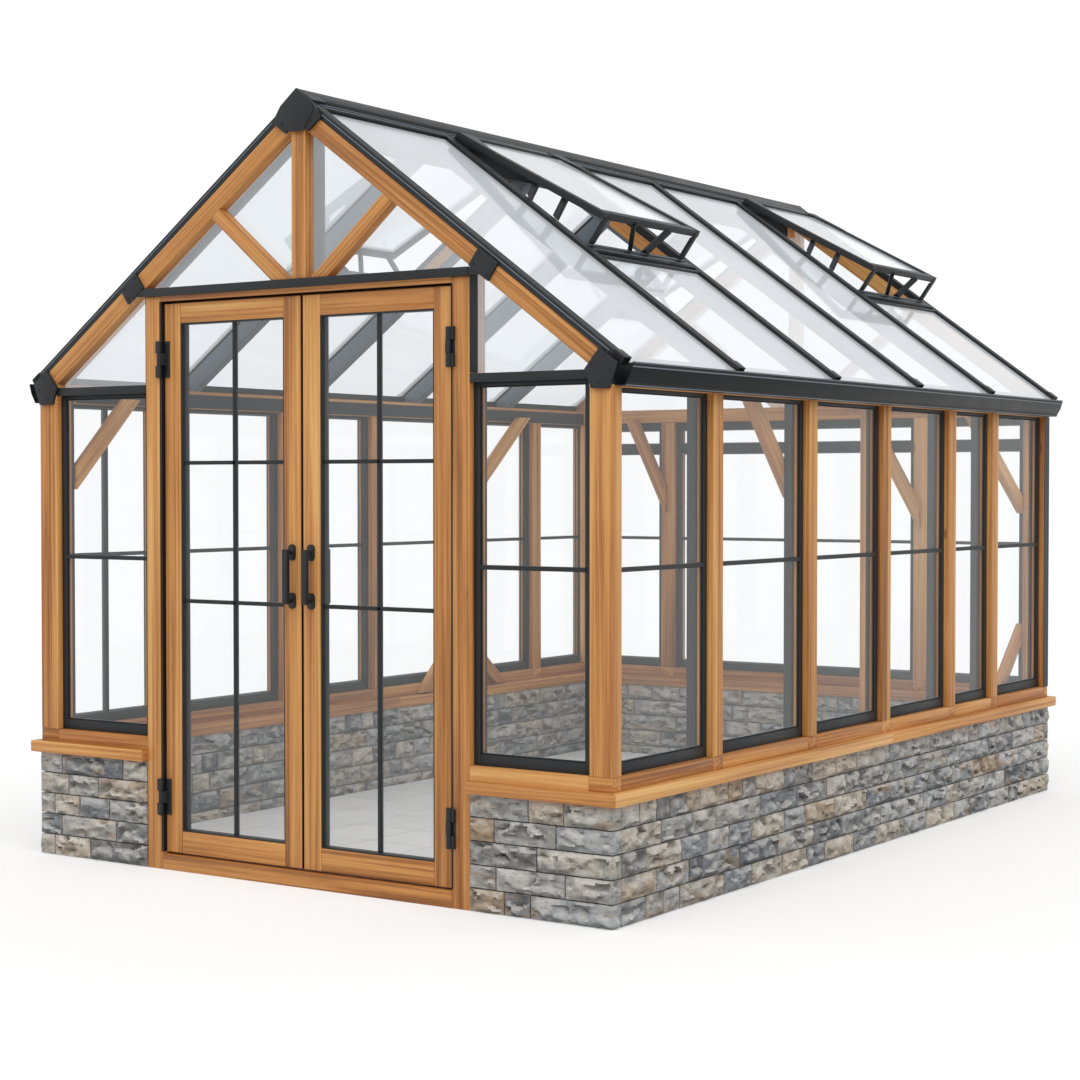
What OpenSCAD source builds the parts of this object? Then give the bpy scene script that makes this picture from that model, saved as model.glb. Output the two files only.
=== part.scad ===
// Glass greenhouse: a timber frame on a low stone wall, glazed in black metal bars.
// +X runs to the right along the door gable, +Y to the back and +Z up.
// The origin is on the ground, under the middle of the building.

/* [Overall] */
// Width over the stone wall
width = 2600; // [2300:10:3150]
// Length over the stone wall
length = 3800; // [3150:10:4600]
// Pitch of the roof in degrees
pitch = 36; // [30:1:43]
// Height of the floor tiles above the ground
floor_h = 40; // [20:1:50]

/* [Stone wall] */
// Height of the stone wall
stone_h = 391; // [320:1:480]
// Thickness of the stone wall
stone_t = 170; // [150:1:220]

/* [Timber frame] */
// Distance of the timber face behind the stone face
frame_inset = 15; // [10:1:30]
// Width of the corner posts on the gables, and depth of every wall timber
post_w = 90; // [80:1:110]
// Width of the corner posts' faces on the long walls
corner_w = 55; // [45:1:66]
// Width of the wall studs
stud_w = 70; // [58:1:85]
// Thickness of the sill boards
cap_h = 42; // [35:1:50]
// Overhang of the sill boards past the stone
cap_overhang = 15; // [10:1:25]
// Height of the bottom plate on the sill boards
plate_h = 47; // [38:1:58]
// Depth of the rafters, square to the roof
rafter_d = 62; // [50:1:75]
// Width of the timber rafters of the gables
rafter_w = 70; // [50:1:80]
// Width of the metal rafters between the gables
common_w = 46; // [38:1:55]
// Width of the braces on the walls
brace_w = 58; // [45:1:70]
// Thickness of the braces on the walls
brace_t = 36; // [28:1:45]
// Relative widths of the bays of the right wall, from the front
right_bays = [6.3, 7.1, 6.4, 6.4, 4.6, 5.9];
// Relative widths of the bays of the left wall, from the front
left_bays = [5.4, 7.4, 6.2, 6.0, 6.9, 4.8];

/* [Doors] */
// Width of one door leaf
leaf_w = 645; // [540:1:760]
// Height of a door leaf
leaf_h = 2000; // [1900:5:2150]
// Thickness of a door leaf
leaf_t = 44; // [38:1:54]
// Width of the leaf stiles
stile_w = 77; // [64:1:92]
// Height of the top rail of a leaf
top_rail_h = 72; // [60:1:90]
// Height of the bottom rail of a leaf
bottom_rail_h = 80; // [66:1:100]
// Distance of the door face behind the frame face
leaf_recess = 15; // [12:1:18]
// Gap between the two leaves
meeting_gap = 10; // [9:1:14]
// Gap between a leaf and its jamb
side_gap = 5; // [5:0.5:8]
// Gap over and under a leaf
end_gap = 8; // [6:0.5:10]
// Width of a door jamb
jamb_w = 75; // [62:1:90]
// Height of the threshold
threshold_h = 56; // [50:1:70]
// Height of the stop strips, and distance they reach over the leaf
stop_w = 20; // [14:1:26]

/* [Hinges and handles] */
// Radius of a hinge barrel
barrel_r = 9; // [8:0.5:11]
// Radius of a hinge pin
pin_r = 4; // [3:0.5:5]
// Radial clearance of a hinge pin
pin_clear = 0.05; // [0.02:0.01:0.1]
// Height of a hinge
hinge_h = 132; // [110:1:158]
// Gap between hinge knuckles
knuckle_gap = 1; // [0.5:0.1:2]
// Height of the lower hinge over the leaf's bottom edge
hinge_low = 136; // [110:1:165]
// Height from the leaf's bottom edge to the middle of the handle
handle_mid = 1022; // [900:1:1100]
// Distance between the two roses of a handle
rose_gap = 169; // [140:1:200]
// Distance of the handle's centre line from the leaf's meeting edge
handle_in = 38; // [33:1:42]
// Distance a handle stands out from the leaf
handle_out = 45; // [36:1:45]

/* [Metal bars] */
// Height of the top and bottom bars of a window frame
window_bar = 38; // [30:1:46]
// Height of the top bars of the front and side windows
window_top = 12; // [10:1:14]
// Width of the side bars of a window frame
window_side = 26; // [21:1:32]
// Depth of the window frame bars
window_bar_t = 40; // [32:1:48]
// Distance of the window bars behind the timber face
window_recess = 24; // [16:1:29]
// Width of the roof bars
roof_bar_w = 42; // [34:1:50]
// Thickness of the roof bars
roof_bar_t = 28; // [24:1:34]
// Number of roof bays
roof_bays = 5; // [4:1:6]
// Distance the roof runs on past the frame face, along the slope
eave_run = 51; // [42:1:60]
// Height of the bar over the doors and of the bars over the front windows
cross_bar_h = 30; // [25:1:36]
// Thickness of the gusset plates
gusset_t = 11; // [8:1:11]
// Height of the gutters
gutter_h = 74; // [62:1:88]
// Distance the gutters stand out from the eave beams
gutter_out = 70; // [60:1:84]
// Thickness of the gutter wall
gutter_t = 4; // [3:0.5:5]

/* [Glass and roof vents] */
// Thickness of the glass
glass_t = 5; // [4:0.5:8]
// Bays that have a roof vent, counted from the front
vent_bays = [1, 4];
// Distance of a vent's top edge from the ridge, along the slope
vent_top = 110; // [92:1:130]
// Length of a vent sash down the slope
vent_len = 735; // [612:1:882]
// Angle that the vents stand open at
vent_angle = 8; // [6:0.5:12]
// Width of the bar under a vent
vent_sill_w = 60; // [48:1:72]
// Width of the vent sash bars
sash_bar = 36; // [30:1:44]
// Thickness of the vent sash bars
sash_t = 26; // [22:1:32]

/* [Hidden] */
$fn = 48;

TIMBER = "peru";
METAL = "dimgray";
STONE = "rosybrown";
PANE = [0.75, 0.85, 0.87, 0.35];

fit = 0.4;              // gap between two pieces of one kind that butt together
seat = 0.02;            // gap under a piece that bears on a sloping or a glazed face
half_w = width / 2;
half_l = length / 2;
frame_x = half_w - frame_inset;   // outer face of the side wall timbers
frame_y = half_l - frame_inset;   // outer face of the gable timbers
sill_top = stone_h + cap_h;       // top of the sill boards
base_z = sill_top + plate_h;      // underside of the windows

// doors
leaf_z = threshold_h + end_gap;
jamb_x = meeting_gap / 2 + leaf_w + side_gap;   // inner face of a jamb
jamb_out = jamb_x + jamb_w;                     // outer face of a jamb
head_z = leaf_z + leaf_h + end_gap;             // underside of the door head
head_lip = 19;                                  // timber that shows under the cross bar
head_top = head_z + head_lip + cross_bar_h;
leaf_y = -frame_y + leaf_recess;                // front face of the leaves
stop_gap = 6;                                   // gap between a shut leaf and its stops

// roof: under(x) is the underside of the rafters at a distance x from the middle
head_clear = 4;
plate_edge = 6;
plumb = 1 / cos(pitch);
function under(x) = head_top + head_clear + (jamb_out - abs(x)) * tan(pitch);
function over(x) = under(x) + (rafter_d + roof_bar_t) * plumb;
eave_z = under(frame_x) - plate_edge;           // underside of the wall plates
ridge_z = over(0);
beam_t = 25;                                    // thickness of an eave beam
slope_end = frame_x * plumb + eave_run;         // lower end of the roof bars along the slope
ridge_start = roof_bar_t * tan(pitch) + 3;      // upper end of the roof bars
bay_pitch = (2 * frame_y - roof_bar_w) / roof_bays;
function bar_y(i) = -frame_y + roof_bar_w / 2 + i * bay_pitch;
glass_d = 12;                                   // depth of the roof glass under the bars' faces
vent_shadow = vent_len * cos(vent_angle);       // length of an open sash along the slope
vent_sill = vent_top + vent_shadow - 6;         // upper edge of the bar under a vent

// running totals of the relative bay widths, as places from front post to back post
function total(v, n) = n == 0 ? 0 : v[n - 1] + total(v, n - 1);
function stud_y(v, i) = -frame_y + post_w / 2
    + (2 * frame_y - post_w) * total(v, i) / total(v, len(v));

// clear spans between the timbers of a side wall
function side_span(v, i) = [
    i == 0 ? -frame_y + corner_w : stud_y(v, i) + stud_w / 2,
    i == len(v) - 1 ? frame_y - corner_w : stud_y(v, i + 1) - stud_w / 2
];

back_post_x = (jamb_x + jamb_out) / 2;          // back posts stand in line with the jambs
back_post_w = jamb_w;
tie_z = under(frame_x);                         // underside of the back tie beam
tie_h = (under(frame_x - post_w) - tie_z);
transom_h = 49;                                 // the transom bars of the back windows
top_light_h = 108;                              // the lights over those transoms
transom_z = tie_z - top_light_h - transom_h;
front_bar_z = tie_z + 20;                       // underside of the bars over the front windows

function span(middle, half) = [middle - half, middle + half];

// an outline in X and Z, pushed along Y from y0 to y1
module across(y0, y1) {
    translate([0, y1, 0])
        rotate([90, 0, 0])
            linear_extrude(height = y1 - y0)
                children();
}

// an outline in Y and Z, pushed along X from x0 to x1
module along(x0, x1) {
    translate([x0, 0, 0])
        rotate([90, 0, 90])
            linear_extrude(height = x1 - x0)
                children();
}

module both_sides() {
    children();
    mirror([1, 0, 0]) children();
}

module both_ends() {
    children();
    mirror([0, 1, 0]) children();
}

// a box on the right wall: u along the wall, z up, t in from the timber face
module right_box(u, z, t) {
    translate([frame_x - t[1], u[0], z[0]])
        cube([t[1] - t[0], u[1] - u[0], z[1] - z[0]]);
}

// a box on the front wall, in the same terms
module front_box(u, z, t) {
    translate([u[0], -frame_y + t[0], z[0]])
        cube([u[1] - u[0], t[1] - t[0], z[1] - z[0]]);
}

module on_left() { mirror([1, 0, 0]) children(); }
module on_back() { mirror([0, 1, 0]) children(); }

// a box on the right slope: s down from the ridge, y, d in from the bars' faces
module slope_box(s, y, d) {
    translate([0, 0, ridge_z])
        rotate([0, pitch, 0])
            translate([s[0], y[0], -d[1]])
                cube([s[1] - s[0], y[1] - y[0], d[1] - d[0]]);
}

// ---- ground and stone ----

module floor_slab() {
    color("lightgray")
        translate([-half_w + stone_t, -half_l + stone_t, 0])
            cube([width - 2 * stone_t, length - 2 * stone_t, floor_h]);
}

module front_stone_walls() {
    color(STONE)
        both_sides()
            translate([jamb_out, -half_l, 0])
                cube([half_w - jamb_out, stone_t, stone_h]);
}

module right_stone_wall() {
    color(STONE)
        translate([half_w - stone_t, -half_l + stone_t, 0])
            cube([stone_t, length - 2 * stone_t, stone_h]);
}

module left_stone_wall() { on_left() right_stone_wall(); }

module back_stone_wall() {
    color(STONE)
        translate([-half_w, half_l - stone_t, 0])
            cube([width, stone_t, stone_h]);
}

// ---- sill boards with the bottom plates on them ----

sill_d = stone_t + cap_overhang;       // width of the sill boards

module right_sill() {
    color(TIMBER) {
        translate([half_w + cap_overhang - sill_d, -half_l + stone_t, stone_h])
            cube([sill_d, length - 2 * stone_t, cap_h]);
        translate([frame_x - post_w, -half_l + stone_t, sill_top + seat])
            cube([post_w, length - 2 * stone_t, plate_h - seat]);
    }
}

module left_sill() { on_left() right_sill(); }

module back_sill() {
    color(TIMBER) {
        translate([-half_w - cap_overhang, half_l - stone_t, stone_h])
            cube([width + 2 * cap_overhang, sill_d, cap_h]);
        translate([-frame_x, half_l - stone_t, sill_top + seat])
            cube([2 * frame_x, frame_y - half_l + stone_t, plate_h - seat]);
    }
}

module front_sills() {
    color(TIMBER)
        both_sides() {
            translate([jamb_out, -half_l - cap_overhang, stone_h])
                cube([half_w + cap_overhang - jamb_out, sill_d, cap_h]);
            translate([jamb_out, -frame_y, sill_top + seat])
                cube([frame_x - jamb_out, -half_l + stone_t + frame_y, plate_h - seat]);
        }
}

// ---- wall timbers ----

// each corner post has a tongue behind the first window of its long wall
module corner_posts() {
    tongue = post_w - window_recess - window_bar_t;
    color(TIMBER)
        both_sides()
            both_ends()
                translate([frame_x - post_w, -frame_y, base_z]) {
                    cube([post_w, corner_w, eave_z - base_z]);
                    translate([0, corner_w + seat, 0])
                        cube([tongue, post_w - corner_w - seat, eave_z - base_z]);
                }
}

module wall_studs(bays) {
    for (i = [1 : len(bays) - 1])
        right_box(span(stud_y(bays, i), stud_w / 2), [base_z, eave_z], [0, post_w]);
}

module right_wall_studs() { color(TIMBER) wall_studs(right_bays); }
module left_wall_studs() { color(TIMBER) on_left() wall_studs(left_bays); }

module back_wall_posts() {
    color(TIMBER)
        on_back()
            both_sides()
                front_box([jamb_x, jamb_out], [base_z, tie_z], [0, post_w]);
}

module wall_plates() {
    color(TIMBER)
        both_sides()
            across(-frame_y, frame_y)
                polygon([
                    [frame_x - post_w, eave_z],
                    [frame_x, eave_z],
                    [frame_x, tie_z],
                    [frame_x - beam_t, tie_z],
                    [frame_x - beam_t, under(frame_x - beam_t)],
                    [frame_x - post_w, under(frame_x - post_w)]
                ]);
}

module back_tie_beam() {
    color(TIMBER)
        on_back()
            front_box([-1, 1] * (frame_x - post_w), [tie_z, tie_z + tie_h], [0, post_w]);
}

// a bar in Y and Z from a foot with an upright cut to a head with a level cut
module brace_outline(foot, head) {
    rise = abs(head[1] - foot[1]);
    run = abs(head[0] - foot[0]);
    turn = atan2(rise, run);
    up = brace_w / cos(turn) / 2 * sign(head[1] - foot[1]);
    side = brace_w / sin(turn) / 2 * sign(head[0] - foot[0]);
    polygon([
        [foot[0], foot[1] - up],
        [foot[0], foot[1] + up],
        [head[0] - side, head[1]],
        [head[0] + side, head[1]]
    ]);
}

brace_x = frame_x - post_w;            // the braces lie on the inner faces of the studs
lap = 24;                              // how far a brace laps over a plate
brace_gap = 6;                         // gap between a brace's foot and the end windows

module right_brace(foot, head) {
    along(brace_x - brace_t, brace_x) brace_outline(foot, head);
}

module back_brace(foot, head) {
    across(frame_y - post_w - brace_t, frame_y - post_w) brace_outline(foot, head);
}

module wall_braces() {
    foot_y = frame_y - window_t[1] - brace_gap;
    plate_top = eave_z + lap;
    plate_low = base_z - 40;
    color(TIMBER) {
        right_brace([stud_y(right_bays, 2), eave_z - 316], [stud_y(right_bays, 2) - 310, plate_top]);
        right_brace([foot_y, eave_z - 406], [foot_y - 620, plate_top]);
        right_brace([foot_y, base_z + 250], [foot_y - 310, plate_low]);
        on_left() {
            right_brace([-foot_y, eave_z - 286], [-foot_y + 300, plate_top]);
            right_brace([stud_y(left_bays, 4), eave_z - 436], [stud_y(left_bays, 4) + 540, plate_top]);
            right_brace([stud_y(left_bays, 4) - fit, base_z + 225],
                        [stud_y(left_bays, 4) - 280, plate_low]);
            right_brace([stud_y(left_bays, 4) + fit, base_z + 225],
                        [stud_y(left_bays, 4) + 330, plate_low]);
        }
        back_brace([back_post_x, eave_z - 456], [back_post_x - 270, plate_top]);
        back_brace([-back_post_x, eave_z - 382], [-back_post_x - 200, plate_top]);
    }
}

module eave_beams() {
    color(METAL)
        both_sides()
            across(-frame_y, frame_y)
                polygon([
                    [frame_x - beam_t, tie_z],
                    [frame_x, tie_z],
                    [frame_x, over(frame_x) - (roof_bar_t + seat) * plumb],
                    [frame_x - beam_t, over(frame_x - beam_t) - (roof_bar_t + seat) * plumb]
                ]);
}

// ---- door opening ----

module door_jambs() {
    stop_y = -frame_y + leaf_recess + leaf_t + stop_gap;
    color(TIMBER)
        both_sides() {
            front_box([jamb_x, jamb_out], [0, head_z + head_lip], [0, post_w]);
            translate([jamb_x - stop_w, stop_y, threshold_h])
                cube([stop_w - seat, -frame_y + post_w - stop_y, head_z - threshold_h]);
        }
}

module door_head() {
    stop_t = leaf_recess + leaf_t + stop_gap;
    color(TIMBER) {
        front_box([-jamb_x, jamb_x], [head_z, head_z + head_lip], [0, post_w]);
        front_box([-jamb_out, jamb_out], [head_z + head_lip, head_top], [0, post_w]);
        front_box([-1, 1] * (jamb_x - stop_w), [head_z - stop_w, head_z], [stop_t, post_w]);
    }
}

module door_threshold() {
    color(TIMBER)
        translate([-jamb_x, -frame_y, 0])
            cube([2 * jamb_x, frame_y - half_l + stone_t, threshold_h]);
}

module cross_bars() {
    color(METAL) {
        front_box([-jamb_out, jamb_out], [head_top - cross_bar_h, head_top], [-gusset_t, 0]);
        both_sides()
            front_box([jamb_out, frame_x - post_w], [front_bar_z, front_bar_z + cross_bar_h],
                      [0, window_recess + window_bar_t]);
    }
}

// ---- windows ----

window_t = [window_recess, window_recess + window_bar_t];
pane_in = 7;                           // depth of the panes behind the window bars' faces
pane_t = [window_recess + pane_in, window_recess + pane_in + glass_t];

function side_bars(u, gap) = [u[0] + window_side + gap, u[1] - window_side - gap];

// four bars round a window on the right wall
module window_frame(u, z, top = window_bar) {
    right_box([u[0], u[0] + window_side], z, window_t);
    right_box([u[1] - window_side, u[1]], z, window_t);
    right_box(side_bars(u, fit), [z[0], z[0] + window_bar], window_t);
    right_box(side_bars(u, fit), [z[1] - top, z[1]], window_t);
}

module window_pane(u, z, top = window_bar) {
    right_box(side_bars(u, seat), [z[0] + window_bar + seat, z[1] - top - seat], pane_t);
}

// the same window turned on to the front wall
module to_front() {
    translate([0, frame_x - frame_y, 0]) rotate([0, 0, -90]) children();
}

side_z = [base_z, eave_z];
front_span = [jamb_out, frame_x - post_w];
front_z = [base_z, front_bar_z];

module side_frames(bays) {
    for (i = [0 : len(bays) - 1])
        window_frame(side_span(bays, i), side_z, window_top);
}

module side_panes(bays) {
    for (i = [0 : len(bays) - 1])
        window_pane(side_span(bays, i), side_z, window_top);
}

module right_window_frames() { color(METAL) side_frames(right_bays); }
module left_window_frames() { color(METAL) on_left() side_frames(left_bays); }
module right_wall_glass() { color(PANE) side_panes(right_bays); }
module left_wall_glass() { color(PANE) on_left() side_panes(left_bays); }

module front_window_frames() {
    color(METAL) both_sides() to_front() window_frame(front_span, front_z, window_top);
}

module front_window_glass() {
    color(PANE) both_sides() to_front() window_pane(front_span, front_z, window_top);
}

// the back windows, each with a transom bar between two panes
back_spans = [[jamb_out, frame_x - post_w], [-frame_x + post_w, -jamb_out], [-jamb_x, jamb_x]];

module back_window_frames() {
    color(METAL)
        on_back() to_front()
            for (u = back_spans) {
                window_frame(u, [base_z, tie_z]);
                right_box(side_bars(u, fit), [transom_z, transom_z + transom_h], window_t);
            }
}

module back_wall_glass() {
    color(PANE)
        on_back() to_front()
            for (u = back_spans) {
                window_pane(u, [base_z, transom_z + window_bar]);
                window_pane(u, [transom_z + transom_h - window_bar, tie_z]);
            }
}

// ---- gables ----

module rafter_outline(x0) {
    low = seat * plumb;
    top = (rafter_d - seat) * plumb;
    x1 = frame_x - beam_t;
    polygon([[x0, under(x0) + low], [x1, under(x1) + low], [x1, under(x1) + top], [x0, under(x0) + top]]);
}

module gable_rafters() {
    color(TIMBER)
        both_sides()
            both_ends()
                across(-frame_y, -frame_y + rafter_w) rafter_outline(fit / 2);
}

ridge_board_t = 30;
ridge_board_h = 110;

module common_rafters() {
    color(METAL)
        both_sides()
            for (i = [1 : roof_bays - 1])
                across(bar_y(i) - common_w / 2, bar_y(i) + common_w / 2)
                    rafter_outline(ridge_board_t / 2);
}

module ridge_board() {
    top = over(ridge_board_t / 2) - roof_bar_t * plumb;
    color(TIMBER)
        translate([-ridge_board_t / 2, -frame_y + rafter_w, top - ridge_board_h])
            cube([ridge_board_t, 2 * (frame_y - rafter_w), ridge_board_h]);
}

king_w = 64;
king_t = 45;
strut_w = 49;
strut_angle = 40;
strut_start = 50;

module king_outline(z) {
    w = king_w / 2;
    polygon([[-w, z], [w, z], [w, under(w)], [0, under(0)], [-w, under(w)]]);
}

// a strut from beside the king post's foot, up and out to the rafter
module strut_outline(z) {
    reach = (under(0) - z + strut_start * tan(strut_angle)) / (tan(strut_angle) + tan(pitch));
    wide = strut_w / sin(strut_angle);
    reach2 = (under(0) - z + (strut_start + wide) * tan(strut_angle))
        / (tan(strut_angle) + tan(pitch));
    polygon([
        [strut_start, z],
        [strut_start + wide, z],
        [reach2, under(reach2)],
        [reach, under(reach)]
    ]);
}

module king_posts() {
    color(TIMBER) {
        across(-frame_y, -frame_y + king_t) king_outline(head_top);
        across(frame_y - king_t, frame_y) king_outline(tie_z + tie_h);
    }
}

module gable_braces() {
    color(TIMBER)
        both_sides() {
            across(-frame_y, -frame_y + king_t) strut_outline(head_top);
            across(frame_y - king_t, frame_y) strut_outline(tie_z + tie_h);
        }
}

// the panes of both gables lie behind the king posts and struts
module gable_glass() {
    x = frame_x - post_w;
    y0 = -frame_y + king_t;
    color(PANE) {
        across(y0, y0 + glass_t)
            polygon([[-jamb_out, head_top], [jamb_out, head_top], [jamb_out, under(jamb_out)],
                     [0, under(0)], [-jamb_out, under(jamb_out)]]);
        both_sides()
            across(y0, y0 + glass_t)
                polygon([[jamb_out + fit, front_bar_z + cross_bar_h], [x, front_bar_z + cross_bar_h],
                         [x, under(x)], [jamb_out + fit, under(jamb_out + fit)]]);
        across(-y0 - glass_t, -y0)
            polygon([[-x, tie_z + tie_h], [x, tie_z + tie_h], [0, under(0)]]);
    }
}

// ---- roof ----

module roof_bars() {
    color(METAL)
        both_sides()
            for (i = [0 : roof_bays])
                slope_box([ridge_start, slope_end],
                          span(bar_y(i), roof_bar_w / 2), [0, roof_bar_t]);
}

function has_vent(i) = len(search(i, vent_bays)) > 0;
function bay_y(i) = [bar_y(i) + roof_bar_w / 2, bar_y(i + 1) - roof_bar_w / 2];

module roof_rails() {
    color(METAL)
        both_sides()
            for (i = [0 : roof_bays - 1]) {
                slope_box([ridge_start, vent_top], bay_y(i) + [fit, -fit], [0, roof_bar_t]);
                if (has_vent(i))
                    slope_box([vent_sill, vent_sill + vent_sill_w], bay_y(i) + [fit, -fit],
                              [0, roof_bar_t]);
            }
}

module roof_glass() {
    color(PANE)
        both_sides()
            for (i = [0 : roof_bays - 1])
                slope_box([has_vent(i) ? vent_sill + vent_sill_w : vent_top, slope_end - 4],
                          bay_y(i), [glass_d, glass_d + glass_t]);
}

cap_side = 62;         // width of each side of the ridge cap
cap_t = 8;             // thickness of the ridge cap

module ridge_cap() {
    x = cap_side * cos(pitch);
    color(METAL)
        both_sides()
            across(-frame_y, frame_y)
                polygon([[seat, over(seat)], [x, over(x)], [x, over(x) + cap_t * plumb],
                         [seat, over(seat) + cap_t * plumb]]);
}

// ---- roof vents, standing open ----

sash_gap = 5;

// draws in the sash's own plane: l down from its top edge, y, h out from its back
module sash_place() {
    translate([0, 0, ridge_z])
        rotate([0, pitch, 0])
            translate([vent_top + fit, 0, 0])
                rotate([0, -vent_angle, 0])
                    children();
}

module sash_box(l, y, h) {
    sash_place()
        translate([l[0], y[0], h[0]])
            cube([l[1] - l[0], y[1] - y[0], h[1] - h[0]]);
}

module each_vent() {
    both_sides()
        for (i = vent_bays)
            translate([0, (bar_y(i) + bar_y(i + 1)) / 2, 0])
                children();
}

sash_y = (bay_pitch - roof_bar_w) / 2 - sash_gap;

module vent_sashes() {
    inner = sash_y - sash_bar - fit;
    color(METAL)
        each_vent() {
            both_ends() sash_box([0, vent_len], [sash_y - sash_bar, sash_y], [0, sash_t]);
            sash_box([0, sash_bar], [-inner, inner], [0, sash_t]);
            sash_box([vent_len - sash_bar, vent_len], [-inner, inner], [0, sash_t]);
        }
}

module vent_glass() {
    inner = sash_y - sash_bar;
    color(PANE)
        each_vent()
            sash_box([sash_bar, vent_len - sash_bar], [-inner, inner], [12, 12 + glass_t]);
}

stay_w = 14;           // width of a stay
stay_t = 10;           // thickness of a stay, down the slope
stay_foot = 45;        // distance of a slanting stay's foot from the middle of the vent
stay_head = 115;       // distance of its head from there

// the stays stand on the bar under a vent: a slanting pair in the middle, and an
// upright one at each side
module vent_stays() {
    s = vent_sill + 1;
    lift = (s - vent_top - fit) * tan(vent_angle) - seat;
    color(METAL)
        each_vent()
            both_ends()
                translate([0, 0, ridge_z])
                    rotate([0, pitch, 0])
                        along(s, s + stay_t) {
                            polygon([[stay_foot, seat], [stay_foot + stay_w, seat],
                                     [stay_head + stay_w, lift], [stay_head, lift]]);
                            translate([sash_y - sash_bar, seat]) square([stay_w, lift - seat]);
                        }
}

// ---- eaves ----

module gutters() {
    top = tie_z + gutter_h - 4;
    low = tie_z - 4;
    x = frame_x;
    w = gutter_out;
    g = gutter_t;
    y = frame_y - gusset_t;
    color(METAL)
        both_sides() {
            across(-y, y)
                difference() {
                    polygon([[x, top], [x, low], [x + 0.55 * w, low], [x + 0.86 * w, low + 0.5 * gutter_h],
                             [x + w, top]]);
                    polygon([[x + g, top + 1], [x + g, low + g], [x + 0.55 * w - g / 2, low + g],
                             [x + 0.86 * w - g, low + 0.5 * gutter_h], [x + w - g, top + 1]]);
                }
        }
}

module ridge_gusset() {
    polygon([[0, 11], [75, -48], [110, -100], [50, -142], [34, -131], [0, -107],
             [-34, -131], [-50, -142], [-110, -100], [-75, -48]]);
}

module eave_gusset() {
    polygon([[-46, 117], [24, 69], [-9, -13], [-76, -11], [-101, 51]]);
}

module gusset_plates() {
    mid = 96;
    deep = rafter_d + 8;
    knee_x = jamb_out + 40;
    color(METAL)
        both_ends()
            across(-frame_y - gusset_t, -frame_y) {
                translate([0, ridge_z]) ridge_gusset();
                both_sides() translate([frame_x, tie_z]) eave_gusset();
                both_sides()
                    translate([knee_x, under(knee_x)])
                        rotate(-pitch)
                            translate([-mid / 2, 1]) square([mid, deep]);
            }
}

// ---- doors ----

leaf_x = jamb_x - side_gap;             // hinge edge of a leaf
pin_x = jamb_x - side_gap / 2;          // hinge axis
pin_y = -frame_y - barrel_r - 2;
flange_t = 4;
knuckle_h = (hinge_h - 2 * knuckle_gap) / 3;
hinge_z = [leaf_z + hinge_low, leaf_z + leaf_h - hinge_low - hinge_h];

// one right leaf; the left leaf is its mirror image
module leaf_frame() {
    difference() {
        translate([meeting_gap / 2, leaf_y, leaf_z]) cube([leaf_w, leaf_t, leaf_h]);
        translate([meeting_gap / 2 + stile_w, leaf_y - 1, leaf_z + bottom_rail_h])
            cube([leaf_w - 2 * stile_w, leaf_t + 2, leaf_h - bottom_rail_h - top_rail_h]);
    }
}

module leaf_glass() {
    translate([meeting_gap / 2 + stile_w, leaf_y + (leaf_t - glass_t) / 2, leaf_z + bottom_rail_h])
        cube([leaf_w - 2 * stile_w, glass_t, leaf_h - bottom_rail_h - top_rail_h]);
}

rose_w = 30;
rose_h = 57;
rose_t = 8;
grip_w = 22;
grip_t = 16;

// a pull handle that stands out of a face at y = 0 towards -y
module pull_handle() {
    for (z = [-1, 1] * rose_gap / 2) {
        translate([0, 0, z])
            rotate([90, 0, 0])
                linear_extrude(height = rose_t)
                    hull()
                        for (dz = [-1, 1] * (rose_h - rose_w) / 2)
                            translate([0, dz]) circle(d = rose_w);
        translate([0, 0, z]) rotate([90, 0, 0]) cylinder(r = 7, h = handle_out - grip_t / 2);
    }
    translate([-grip_w / 2, -handle_out, -rose_gap / 2 - grip_w / 2])
        cube([grip_w, grip_t, rose_gap + grip_w]);
}

module leaf_handles() {
    x = meeting_gap / 2 + handle_in;
    z = leaf_z + handle_mid;
    translate([x, leaf_y, z]) pull_handle();
    translate([x, leaf_y + leaf_t, z]) mirror([0, 1, 0]) pull_handle();
}

// the moving half of each hinge: a knuckle, a web and a flange on the leaf
module leaf_hinges() {
    for (z = hinge_z) {
        mid = z + knuckle_h + knuckle_gap;
        difference() {
            union() {
                translate([pin_x, pin_y, mid]) cylinder(r = barrel_r, h = knuckle_h);
                translate([pin_x - 14, pin_y, mid])
                    cube([14 - pin_r - 2, leaf_y - pin_y - flange_t, knuckle_h]);
            }
            translate([pin_x, pin_y, mid - 1]) cylinder(r = pin_r + pin_clear, h = knuckle_h + 2);
        }
        translate([leaf_x - 26, leaf_y - flange_t, z]) cube([24, flange_t, hinge_h]);
    }
}

// the fixed half: the outer knuckles, the pin and a flange on the jamb
module hinge_brackets() {
    color(METAL)
        both_sides()
            for (z = hinge_z) {
                for (k = [0, 2 * (knuckle_h + knuckle_gap)]) {
                    translate([pin_x, pin_y, z + k]) cylinder(r = barrel_r, h = knuckle_h);
                    translate([pin_x, pin_y, z + k])
                        cube([20, -frame_y - pin_y, knuckle_h]);
                }
                translate([pin_x, pin_y, z]) cylinder(r = pin_r, h = hinge_h);
            }
}

module right_door_frame() { color(TIMBER) leaf_frame(); }
module right_door_glass() { color(PANE) leaf_glass(); }
module right_door_handles() { color(METAL) leaf_handles(); }
module right_door_hinges() { color(METAL) leaf_hinges(); }
module left_door_frame() { on_left() right_door_frame(); }
module left_door_glass() { on_left() right_door_glass(); }
module left_door_handles() { on_left() right_door_handles(); }
module left_door_hinges() { on_left() right_door_hinges(); }

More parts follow.
